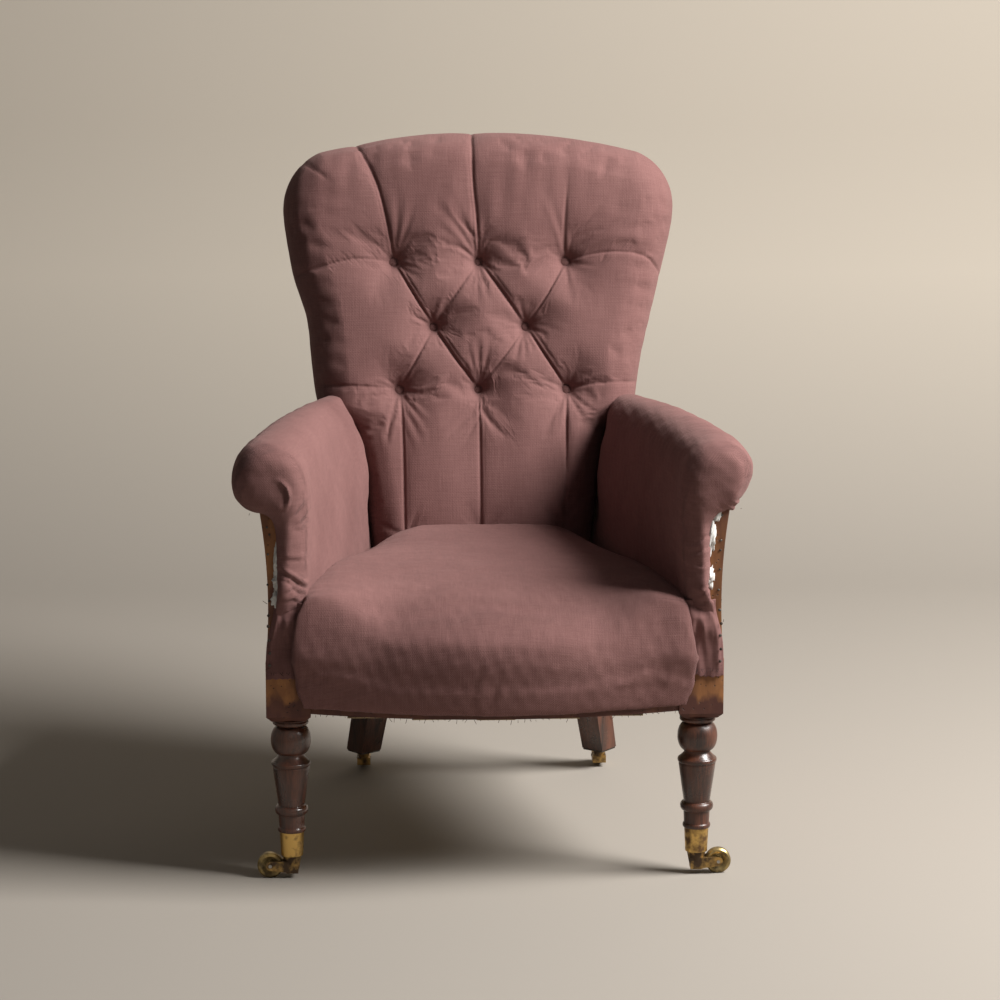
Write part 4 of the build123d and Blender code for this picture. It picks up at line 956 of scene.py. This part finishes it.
def turned_leg(side, sign):
    """The front leg: flange, bun and collar over a taper, with a ring and an ankle bead."""
    rows = [
        np.array([(216.8, 21.0), (216.4, 23.6), (215.2, 24.0)]) * MM,
        bead(208.6, 215.0, 20.6, 23.8)[::-1],
        np.array([(208.0, 19.6), (207.2, 18.4)]) * MM,
        bead(169.0, 206.8, 16.6, 26.4, 31)[::-1],
        np.array([(168.2, 16.8), (166.6, 17.2), (164.4, 18.6), (161.6, 21.4), (159.4, 23.8)]) * MM,
        bead(152.8, 159.2, 24.0, 26.0)[::-1],
        np.array([(152.2, 24.5), (149.0, 24.3), (99.6, 17.5)]) * MM,
        bead(86.6, 99.0, 17.3, 22.0)[::-1],
        np.array([(86.0, 17.4), (78.0, 17.0), (70.0, 16.6)]) * MM,
        bead(63.2, 69.4, 16.8, 18.4)[::-1],
    ]
    profile = np.concatenate(rows)
    piece = lathe(f"turned_leg_{side}", profile, (sign * leg_x, leg_y))
    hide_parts(f"front_leg_{side}")
    return dress(piece, leg_finish)


def covered_buttons():
    """Eight domed buttons in the same cloth: radius r cos a and height 6 sin a, with a lip."""
    a = np.linspace(0, pi / 2 - 0.01, 12)
    radius = np.concatenate([[0.0086, 0.0092], button_radius * np.cos(a)])
    height = np.concatenate([[-0.0035, -0.0008], 0.0048 * np.sin(a)])
    turn = np.linspace(0, 2 * pi, 36, endpoint=False)
    x, y = radius[:, None] * np.cos(turn), radius[:, None] * np.sin(turn)
    faces = quads(len(radius), len(turn), wrap=True)
    heads = [
        (raked(u + x, v + y, button_w + height[:, None]).reshape(-1, 3), faces)
        for u, v in button_uv
    ]
    piece = make_mesh("covered_buttons", *joined(heads))
    flat = read_points(piece.data)
    set_weave(piece, flat[:, 0], flat[:, 2])
    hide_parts("back_buttons")
    return dress(piece, cloth_finish)


def tube(path, radius, sides):
    """Points and faces of a round tube along a path, its frame turned as little as it can be."""
    path = np.asarray(path, float)
    along = np.gradient(path, axis=0)
    along /= np.linalg.norm(along, axis=1, keepdims=True)
    aim = np.array([0.31, 0.23, 0.92])
    aim = aim - along * (along @ aim)[:, None]
    aim /= np.linalg.norm(aim, axis=1, keepdims=True)
    across = np.cross(along, aim)
    turn = np.linspace(0, 2 * pi, sides, endpoint=False)
    radius = np.broadcast_to(np.asarray(radius, float), len(path)).copy()
    radius[[0, -1]] *= 0.02
    ring = aim[:, None] * np.cos(turn)[:, None] + across[:, None] * np.sin(turn)[:, None]
    points = path[:, None] + ring * radius[:, None, None]
    return points.reshape(-1, 3), quads(len(path), sides, wrap=True)


def tubes(name, paths, radius, sides):
    """One object of many tubes."""
    return make_mesh(name, *joined([tube(path, radius, sides) for path in paths]))


spring_rows = ((0.030, 3), (0.206, 3), (0.382, 2))
spring_pitch = 0.126


def springs():
    """Hourglass coils: radius 25 + 11 (2t - 1)^2 over six turns, their ends closed on themselves."""
    t = np.linspace(0, 1, 220)
    turn = 2 * pi * 6.5 * t
    radius = 0.0235 + 0.011 * (2 * t - 1) ** 2
    height = rail_low + 0.002 + (rail_high - rail_low - 0.004) * ramp(t, 0.02, 0.98)
    paths = []
    for row, count in spring_rows:
        for i in range(count):
            x = (i - (count - 1) / 2) * spring_pitch
            spot = np.stack([x + radius * np.cos(turn), leg_y + row + radius * np.sin(turn), height], axis=1)
            paths.append(spot)
    piece = tubes("coil_springs", paths, 0.0017, 6)
    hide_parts("seat_springs")
    return dress(piece, wire_finish)


web_width = 0.050
web_lift = 0.0008  # how far a strap is lifted or pressed down where it crosses another
web_margin = 0.009  # bare wood outside the ends of the back's webs and sacking


def strap(start, end, width_way, out_way, levels):
    """A flat strap from start to end, rising and falling along out_way by its levels.

    levels gives (share of the way, height) pairs; between them the height is a smooth curve.
    """
    share = np.linspace(0, 1, 90)
    lift = smooth_line(levels, share)[:, 0]
    middle = np.asarray(start) + (np.asarray(end) - np.asarray(start)) * share[:, None]
    middle = middle + np.asarray(out_way) * lift[:, None]
    half = 0.5 * web_width * np.asarray(width_way)
    across = np.linspace(-1, 1, 7)
    top = middle[:, None] + half * across[:, None]
    skin = 0.0007 * np.asarray(out_way)
    return top + skin, top - skin


def weave_levels(crossings, low, high, end, first):
    """A strap's heights: end at both ends, and first at its first crossing, then by turns."""
    inner = [((at - low) / (high - low), first * (-1) ** i) for i, at in enumerate(crossings)]
    return [(0, end), *inner, (1, end)]


def strap_mesh(name, straps):
    """One object of many straps, each closed round its edges."""
    parts, uv = [], []
    for top, under in straps:
        rows, columns = top.shape[:2]
        ring = np.concatenate([top, under[:, ::-1]], axis=1)
        a = np.arange(columns - 1)
        b = 2 * columns - 1 - a
        cap = np.stack([a, b, b - 1, a + 1], axis=1)
        far_cap = cap[:, ::-1] + (rows - 1) * 2 * columns
        faces = [quads(rows, 2 * columns, wrap=True), cap, far_cap]
        parts.append((ring.reshape(-1, 3), np.concatenate(faces)))
        reach = np.linspace(0, np.linalg.norm(top[-1, 0] - top[0, 0]), rows)
        across = np.arange(columns)
        side = np.concatenate([across, across[::-1]]) / columns * web_width
        uv.append(np.stack(np.broadcast_arrays(side, reach[:, None]), axis=-1).reshape(-1, 2))
    piece = make_mesh(name, *joined(parts))
    set_weave(piece, *np.concatenate(uv).T)
    return piece


def seat_side(y):
    """How far the seat frame's tacking line is from the middle, straight along each side rail."""
    half_front, corner_y, slope = 0.2785, -0.275, 0.268
    return half_front - slope * np.maximum(y - corner_y, 0)


def seat_webs():
    """Five straps each way under the seat rails, woven over and under each other.

    The ends of the cross straps are cut along the side rails, the last one notched round the legs.
    """
    notch_y, notch_x = 0.072, 0.147
    count, long_pitch, cross_pitch = 5, 0.084, 0.088
    half_rail, front_bow = 0.261, 0.040  # of the front rail
    middle_z = rail_low - 0.0015
    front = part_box("seat_webbing")[0].y
    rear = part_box("seat_webbing")[1].y
    down = (0, 0, -1)
    long_x = [(i - 2) * long_pitch for i in range(count)]
    cross_y = [leg_y + 0.030 + i * cross_pitch for i in range(count)]
    straps = []
    for i, x in enumerate(long_x):
        start = front + front_bow * (x / half_rail) ** 2
        levels = weave_levels(cross_y, start, rear, web_lift, web_lift * (-1) ** i)
        straps.append(strap((x, start, middle_z), (x, rear, middle_z), (1, 0, 0), down, levels))
    for j, y in enumerate(cross_y):
        half = float(seat_side(y))
        levels = weave_levels(long_x, -half, half, -web_lift, -web_lift * (-1) ** j)
        sheets = strap((-half, y, middle_z), (half, y, middle_z), (0, 1, 0), down, levels)
        for sheet in sheets:
            reach = seat_side(sheet[..., 1])
            end = np.where(sheet[..., 1] > notch_y, np.minimum(reach, notch_x), reach)
            sheet[..., 0] *= end / half
        straps.append(sheets)
    piece = strap_mesh("seat_web_straps", straps)
    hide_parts("seat_webbing")
    return dress(piece, strap_finish)


def back_webs():
    """Four straps across the back and three up it, woven over and under each other."""
    middle_w = half_frame + 0.0015
    out = np.array([0, -cos(rake), sin(rake)])
    up = np.array([0, sin(rake), cos(rake)])
    cross_v = [0.235 + 0.118 * i for i in range(4)]
    long_u = [-0.096, 0.0, 0.096]
    straps = []
    for j, v in enumerate(cross_v):
        half = float(smooth_line(back_outline_keys, np.array([v]))[0, 0]) - web_margin
        levels = weave_levels(long_u, -half, half, -web_lift, web_lift * (-1) ** j)
        ends = raked(np.array([-half, half]), v, middle_w)
        straps.append(strap(*ends, up, out, levels))
    for i, u in enumerate(long_u):
        arch = crest_top - crest_radius + (crest_radius**2 - u * u) ** 0.5
        low, high = 0.156, arch - web_margin
        levels = weave_levels(cross_v, low, high, web_lift, -web_lift * (-1) ** i)
        ends = raked(u, np.array([low, high]), middle_w)
        straps.append(strap(*ends, (1, 0, 0), out, levels))
    piece = strap_mesh("back_web_straps", straps)
    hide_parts("back_webbing")
    return dress(piece, strap_finish)


stump_rear = leg_y + 0.006  # the rear face of the arm stumps


def arm_lining(y, z, lift):
    """Where the lining inside an arm frame is: a straight ruling between its two rails."""
    front_x, tack_rail_top, rails_apart = 0.272, 0.356, 0.180
    low = front_x - 0.118 * (y - stump_rear) / 0.5133
    high = front_x - 0.091 * (y - stump_rear) / 0.5574
    return low + (high - low) * (z - tack_rail_top) / rails_apart - lift


def arm_webs(side, sign):
    """Three upright straps inside an arm frame."""
    straps = []
    for i in range(3):
        y = leg_y + 0.105 + 0.130 * i
        z = np.linspace(0.332, 0.534, 40)[:, None]
        across = y + web_width * np.linspace(-0.5, 0.5, 7)[None, :]
        outer = arm_lining(across, z, 0.0001)
        inner = arm_lining(across, z, 0.0015)
        sheets = [
            np.stack(np.broadcast_arrays(sign * x, across, z), axis=-1) for x in (inner, outer)
        ]
        straps.append(sheets if sign > 0 else sheets[::-1])
    piece = strap_mesh(f"arm_web_straps_{side}", straps)
    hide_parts(f"arm_webbing_{side}")
    return dress(piece, strap_finish)


def sacking(name, grid, node):
    """A stretched sheet of hessian from a grid of points."""
    piece = make_mesh(name, grid.reshape(-1, 3), quads(*grid.shape[:2]))
    along = np.linalg.norm(np.diff(grid, axis=0), axis=-1)
    across = np.linalg.norm(np.diff(grid, axis=1), axis=-1)
    u = np.concatenate([np.zeros((grid.shape[0], 1)), np.cumsum(across, axis=1)], axis=1)
    u -= u[:, -1:] / 2
    v = np.concatenate([np.zeros((1, grid.shape[1])), np.cumsum(along, axis=0)])
    set_weave(piece, u, v)
    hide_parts(node)
    dress(piece, sacking_finish)
    return piece


def hessians():
    """The sheets over the webs of the seat, the back and both arms."""
    front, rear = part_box("seat_hessian")[0].y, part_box("seat_hessian")[1].y
    y = front + (rear - front) * np.linspace(0, 1, 40)
    bow_half, bow_deep, bow_end = 0.262, 0.055, -0.285
    bow = bow_half * np.sqrt(np.clip((y - front + 0.001) / bow_deep, 0.02, 1))
    half = np.where(y < bow_end, np.minimum(bow, bow_half), seat_side(y))
    x = half[:, None] * np.linspace(-1, 1, 40)
    grid = np.stack(np.broadcast_arrays(x, y[:, None], rail_high + 0.0006), axis=-1)
    sacking("seat_sacking", grid, "seat_hessian")

    half_line = even(half_outline(), 90)
    edge = (half_line - web_margin * outward(half_line))[8:-1]
    u = edge[:, :1] * np.linspace(-1, 1, 40)
    grid = raked(u, edge[:, 1:], half_frame + 0.0037)
    sacking("back_sacking", grid, "back_hessian")

    for side, sign in (("left", 1), ("right", -1)):
        z = np.linspace(0.331, 0.535, 30)[:, None]
        end = 0.2480 - (0.536 - z) * np.tan(rake)
        share = np.linspace(0, 1, 50)[None, :]
        y = stump_rear + 0.0005 + (end - stump_rear) * (share if sign > 0 else share[:, ::-1])
        x = sign * arm_lining(y, z, 0.0024)
        grid = np.stack(np.broadcast_arrays(x, y, z), axis=-1)
        sacking(f"arm_sacking_{side}", grid, f"arm_hessian_{side}")


def button_twine():
    """Behind each button, two strands through the stuffing to a toggle of rolled web."""
    toggle_w = 0.012  # the toggle's height over the middle of the frame
    paths = []
    for u, v in button_uv:
        for side in (-1, 1):
            w = np.linspace(face_w - tuft_depth, 0.0075, 24)
            drift = side * 0.0012 * np.cos(w * 300)
            paths.append(raked(u + drift, v + side * 0.0006, w))
        turn = np.linspace(-0.35, 1.35, 26) * 2 * pi
        y, w = 0.0045 * np.cos(turn), toggle_w + 0.0045 * np.sin(turn)
        paths.append(raked(u + 0.0006 * turn, v + y, w))
    piece = tubes("button_twine", paths, 0.0007, 6)
    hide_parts("back_button_ties")
    dress(piece, twine_finish)
    a = np.linspace(0, 5 * pi, 60)[:, None]
    radius = 0.0009 + 0.00058 * a / pi
    length = np.linspace(-0.013, 0.013, 8)[None, :]
    y, w = radius * np.cos(a), toggle_w + radius * np.sin(a)
    rolls = [(raked(u + length, v + y, w).reshape(-1, 3), quads(60, 8)) for u, v in button_uv]
    roll = make_mesh("twine_toggles", *joined(rolls))
    weave = np.broadcast_arrays(length, radius * a)
    set_weave(roll, *(np.tile(part.ravel(), len(rolls)) for part in weave))
    put(roll.modifiers.new("thickness", "SOLIDIFY"), thickness=0.0004)
    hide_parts("back_button_ties")
    return dress(roll, strap_finish)


def ragged(points, amount, seed):
    """Moves an edge of points up and down by chance, for torn cloth."""
    chance = np.random.default_rng(seed)
    spots = np.arange(0, len(points), 2)
    jag = np.interp(np.arange(len(points)), spots, chance.uniform(-1, 1, len(spots)))
    return amount * (0.6 * jag + 0.8 * ripple(np.asarray(points), 0.02, seed))


cloth_inner = 0.2435  # where the cloth comes out beside the seat
cloth_drop = 0.098  # how far it is drawn down


def wrapped_cloth(side, sign):
    """The cloth drawn down over the front of the post and tacked above the bare block.

    A net over the post's front and outer face: across it runs from the seat round the
    corner, rounded as sin and cos of the turn, and down it from the facing to a torn edge.
    """
    inner, outer = sign * cloth_inner, sign * (post_outer - 0.0005)
    rows, columns = 90, 46
    t = np.linspace(0, 1, rows)[:, None]
    s = np.linspace(0, 1, columns)[None, :]
    outer_edge = outer - sign * 0.0115 * np.exp(-(((t - 0.05) / 0.35) ** 2)) + 0 * s
    x = inner + (outer_edge - inner) * s
    low = rail_low + 0.048
    foot = ragged(np.stack([x[-1], 0 * x[-1], 0 * x[-1]], axis=1), 0.0022, 21 if sign > 0 else 22)
    z = (rail_low + 0.150) * (1 - t) + (low + foot) * t
    swell = ramp(t, 0.04, 0.24) * (1 - ramp(t, 0.24, 0.62))
    proud = 0.0035 + 0.0085 * swell * np.sin(pi * np.clip(s * 0.9 + 0.1, 0, 1)) ** 0.5
    proud = proud * ramp(s, -0.12, 0.12) * (1 - 0.75 * ramp(s, 0.86, 1.0))
    y = post_front - proud
    grid = np.stack(np.broadcast_arrays(x, y, z), axis=-1)
    crumple = ripple(grid * np.array([1.0, 1, 0.45]), 0.018, 31 if sign > 0 else 32)
    gather = ripple(grid * np.array([1.0, 1, 0.25]), 0.011, 33 if sign > 0 else 34)
    bunch = np.exp(-(((t - 0.34) / 0.16) ** 2))
    grid[..., 1] -= (0.0014 * crumple + (0.0005 + 0.0006 * bunch) * gather) * ramp(s, 0, 0.1)
    points = grid[:, ::-1] if sign > 0 else grid
    piece = make_mesh(f"post_cloth_{side}", points, quads(rows, columns))
    set_weave(piece, points[..., 0], points[..., 2])
    put(piece.modifiers.new("thickness", "SOLIDIFY"), thickness=0.0007)
    size = sorted((post_outer - cloth_inner, cloth_drop))
    return dress(piece, cloth_finish), size


def scattered(name, makers, finish):
    """One object of many small closed pieces, each (points, faces)."""
    return dress(make_mesh(name, *joined(makers)), finish)


def dome(middle, way, radius, height, sides=8):
    """A tack's head: rings of radius r cos a at height h sin a, along a direction."""
    way = np.asarray(way, float) / np.linalg.norm(way)
    side = np.cross(way, (0.3, 0.5, 0.81))
    side /= np.linalg.norm(side)
    up = np.cross(way, side)
    a = np.array([-0.5, 0.0, 0.5, 1.0, 1.5])
    turn = np.linspace(0, 2 * pi, sides, endpoint=False)
    r = radius * np.cos(a)[:, None]
    ring = side * (r * np.cos(turn))[..., None] + up * (r * np.sin(turn))[..., None]
    points = np.asarray(middle) + ring + way * (height * np.sin(a))[:, None, None]
    return points.reshape(-1, 3), quads(len(a), sides, wrap=True)


def tacks():
    """Iron tacks along the cloth's edges on the posts and behind the back."""
    heads = []
    forward = (0, -1, 0)
    chance = np.random.default_rng(5)
    for sign in (-1, 1):
        for z in np.linspace(rail_low + 0.068, rail_low + 0.135, 5):
            for x in (0.2475, 0.2935):
                jitter = chance.uniform(-0.0015, 0.0015, 2)
                place = (sign * (x + jitter[0]), post_front - 0.0052, z + jitter[1])
                heads.append(dome(place, forward, 0.0021, 0.001))
        for z in np.linspace(0.384, 0.486, 5):
            x = 0.2935 + chance.uniform(-0.003, 0.002)
            place = (sign * x, post_front - 0.0008, z + chance.uniform(-0.009, 0.009))
            heads.append(dome(place, forward, 0.0016, 0.0008))
    edge = half_outline()
    edge = even(edge[edge[:, 1] > 0.2], 46)
    edge = edge - 0.0085 * outward(edge)
    behind = (0, cos(rake), -sin(rake))
    for sign in (-1, 1):
        for u, v in edge[:-1] if sign < 0 else edge:
            place = raked(sign * u, v, -half_frame - 0.0022)
            heads.append(dome(place, behind, 0.0024, 0.0011))
    return scattered("tacks", heads, iron_finish)


def wadding():
    """Tufts of white wadding that show beside the facings."""
    places = (
        # side, x, z, half the width, half the height
        (-1, 0.2830, 0.4300, 0.0040, 0.026), (-1, 0.2825, 0.4060, 0.0055, 0.012),
        (-1, 0.2835, 0.3840, 0.0060, 0.013), (1, 0.2880, 0.4900, 0.0050, 0.008),
        (1, 0.2800, 0.4640, 0.0060, 0.023), (1, 0.2790, 0.4080, 0.0060, 0.015),
    )
    half_deep = 0.0055
    a = np.linspace(-pi / 2, pi / 2, 18)[:, None]
    b = np.linspace(0, 2 * pi, 28, endpoint=False)[None, :]
    tufts = []
    for index, (sign, x, z, wide, tall) in enumerate(places):
        ball = np.stack(np.broadcast_arrays(
            wide * np.cos(a) * np.cos(b), half_deep * np.cos(a) * np.sin(b), tall * np.sin(a)),
            axis=-1)
        lumps = ripple(ball + index, 0.006, 50 + index) + 0.6 * ripple(ball + index, 0.0028, 60 + index)
        ball = ball * (1 + 0.3 * lumps[..., None])
        ball += np.array([sign * x, post_front + 0.0005, z])
        tufts.append((ball.reshape(-1, 3), quads(18, 28, wrap=True)))
    return scattered("wadding_tufts", tufts, wadding_finish)


def loose_threads():
    """Dark threads and frayed ends at the edges of the cloth."""
    chance = np.random.default_rng(8)
    paths = []
    starts = []
    for sign in (-1, 1):
        for z in np.linspace(rail_low + 0.062, rail_low + 0.15, 4):
            starts.append(((sign * 0.2945, post_front - 0.004, z), (sign * 0.6, -0.6, 0)))
        for z in np.linspace(rail_low + 0.05, rail_low + 0.145, 12):
            starts.append(((sign * 0.2455, post_front - 0.0045, z), (sign * 0.5, -0.6, 0.3)))
        for x in np.linspace(0.25, 0.292, 12):
            starts.append(((sign * x, post_front - 0.0045, rail_low + 0.058), (0, -0.4, -1.0)))
        for y in np.linspace(-0.33, 0.2, 8):
            starts.append(((sign * 0.318, y, 0.497), (sign * 0.3, 0, -1.0)))
    for x in np.linspace(-0.235, 0.235, 60):
        front = -0.3655 + 0.05 * (x / 0.27) ** 2 - 0.0135
        starts.append(((x, front + 0.004, rail_low + 0.004), (0, -0.2, -1.0)))
    for start, way in starts:
        length = chance.uniform(0.0015, 0.0045)
        t = np.linspace(0, 1, 9)[:, None]
        bend = chance.normal(size=3) * 0.5
        way = np.asarray(way) + chance.normal(size=3) * 0.45
        path = np.asarray(start) + chance.normal(size=3) * 0.0008 + length * (way * t + bend * t * t)
        paths.append(path)
    piece = tubes("loose_threads", paths, 0.00032, 4)
    return dress(piece, thread_finish)


# Put together

back = back_cover()
dress(back, cloth_finish)
seat_cover()
for side, sign in (("left", 1), ("right", -1)):
    arm_cover(side, sign)
    turned_leg(side, sign)
    arm_webs(side, sign)
covered_buttons()
springs()
seat_webs()
back_webs()
hessians()
button_twine()
for side, sign in (("left", 1), ("right", -1)):
    cloth, cloth_size = wrapped_cloth(side, sign)
tacks()
wadding()
loose_threads()


# Stage, light and camera

stage_bend, bend_radius = 1.5, 0.8  # where the floor turns up into the wall
turn = np.linspace(0, pi / 2, 16)[1:]
floor = np.linspace(-7, stage_bend, 12)
wall = [stage_bend + bend_radius]
stage_y = np.concatenate([floor, stage_bend + bend_radius * np.sin(turn), wall])
stage_z = np.concatenate([0 * floor, bend_radius - bend_radius * np.cos(turn), [5.0]])
stage_x = np.linspace(6, -6, 3)
sweep = np.stack(np.broadcast_arrays(stage_x[:, None], stage_y[None], stage_z[None]), axis=-1)
backdrop = make_mesh("backdrop", sweep, quads(*sweep.shape[:2]))
paper = Finish("backdrop_paper", Roughness=1.0)
climb = paper.level(paper.axis("Z"), 0.0, 0.5)
paper.feed("Base Color", paper.tint(climb, (0.31, 0.28, 0.245), (0.47, 0.42, 0.355)))
paper.feed("Alpha", 1 - paper.node("NewGeometry", {}, {}, "Backfacing"))
backdrop.data.materials.append(paper.material)


def area_light(name, place, target, size, power, color=(1, 1, 1)):
    """A square soft light at a place, aimed at a target."""
    data = bpy.data.lights.new(name, "AREA")
    data.size = size
    data.energy = power
    data.color = color
    light = bpy.data.objects.new(name, data)
    way = np.asarray(target, float) - np.asarray(place, float)
    flat = np.hypot(way[0], way[1])
    light.location = place
    light.rotation_euler = Euler((pi / 2 + np.arctan2(way[2], flat), 0, np.arctan2(-way[0], way[1])))
    bpy.context.scene.collection.objects.link(light)


area_light("window", (2.58, -0.86, 2.8), (0, -0.05, 0.5), 1.7, 325, (1.0, 0.985, 0.965))
area_light("fill", (0.4, -4.2, 2.6), (0, 0, 0.5), 2.4, 3)
world = bpy.context.scene.world or bpy.data.worlds.new("room")
bpy.context.scene.world = world
world.use_nodes = True
sky = world.node_tree.nodes["Background"]
sky.inputs["Color"].default_value = (0.95, 0.97, 1.0, 1.0)
sky.inputs["Strength"].default_value = 0.045
links = world.node_tree.links
room, seen, either, shown = (
    world.node_tree.nodes.new("ShaderNode" + kind)
    for kind in ("Background", "LightPath", "Math", "MixShader")
)
room.inputs["Color"].default_value = (0.36, 0.325, 0.28, 1.0)
either.operation = "MAXIMUM"
links.new(seen.outputs["Is Camera Ray"], either.inputs[0])
links.new(seen.outputs["Is Glossy Ray"], either.inputs[1])
links.new(either.outputs[0], shown.inputs[0])
links.new(sky.outputs[0], shown.inputs[1])
links.new(room.outputs[0], shown.inputs[2])
links.new(shown.outputs[0], world.node_tree.nodes["World Output"].inputs["Surface"])

camera_yaw = radians(2.14)
camera_pitch = radians(10.62)
camera = bpy.data.objects.new("camera", bpy.data.cameras.new("camera"))
put(camera.data, lens=119.34, sensor_width=36, clip_end=50)
camera.location = (-0.151, -4.530778, 1.3)
camera.rotation_euler = Euler((pi / 2 - camera_pitch, 0, -camera_yaw))
bpy.context.scene.collection.objects.link(camera)
bpy.context.scene.camera = camera
bpy.context.scene.view_settings.view_transform = "Standard"

bpy.context.view_layer.update()
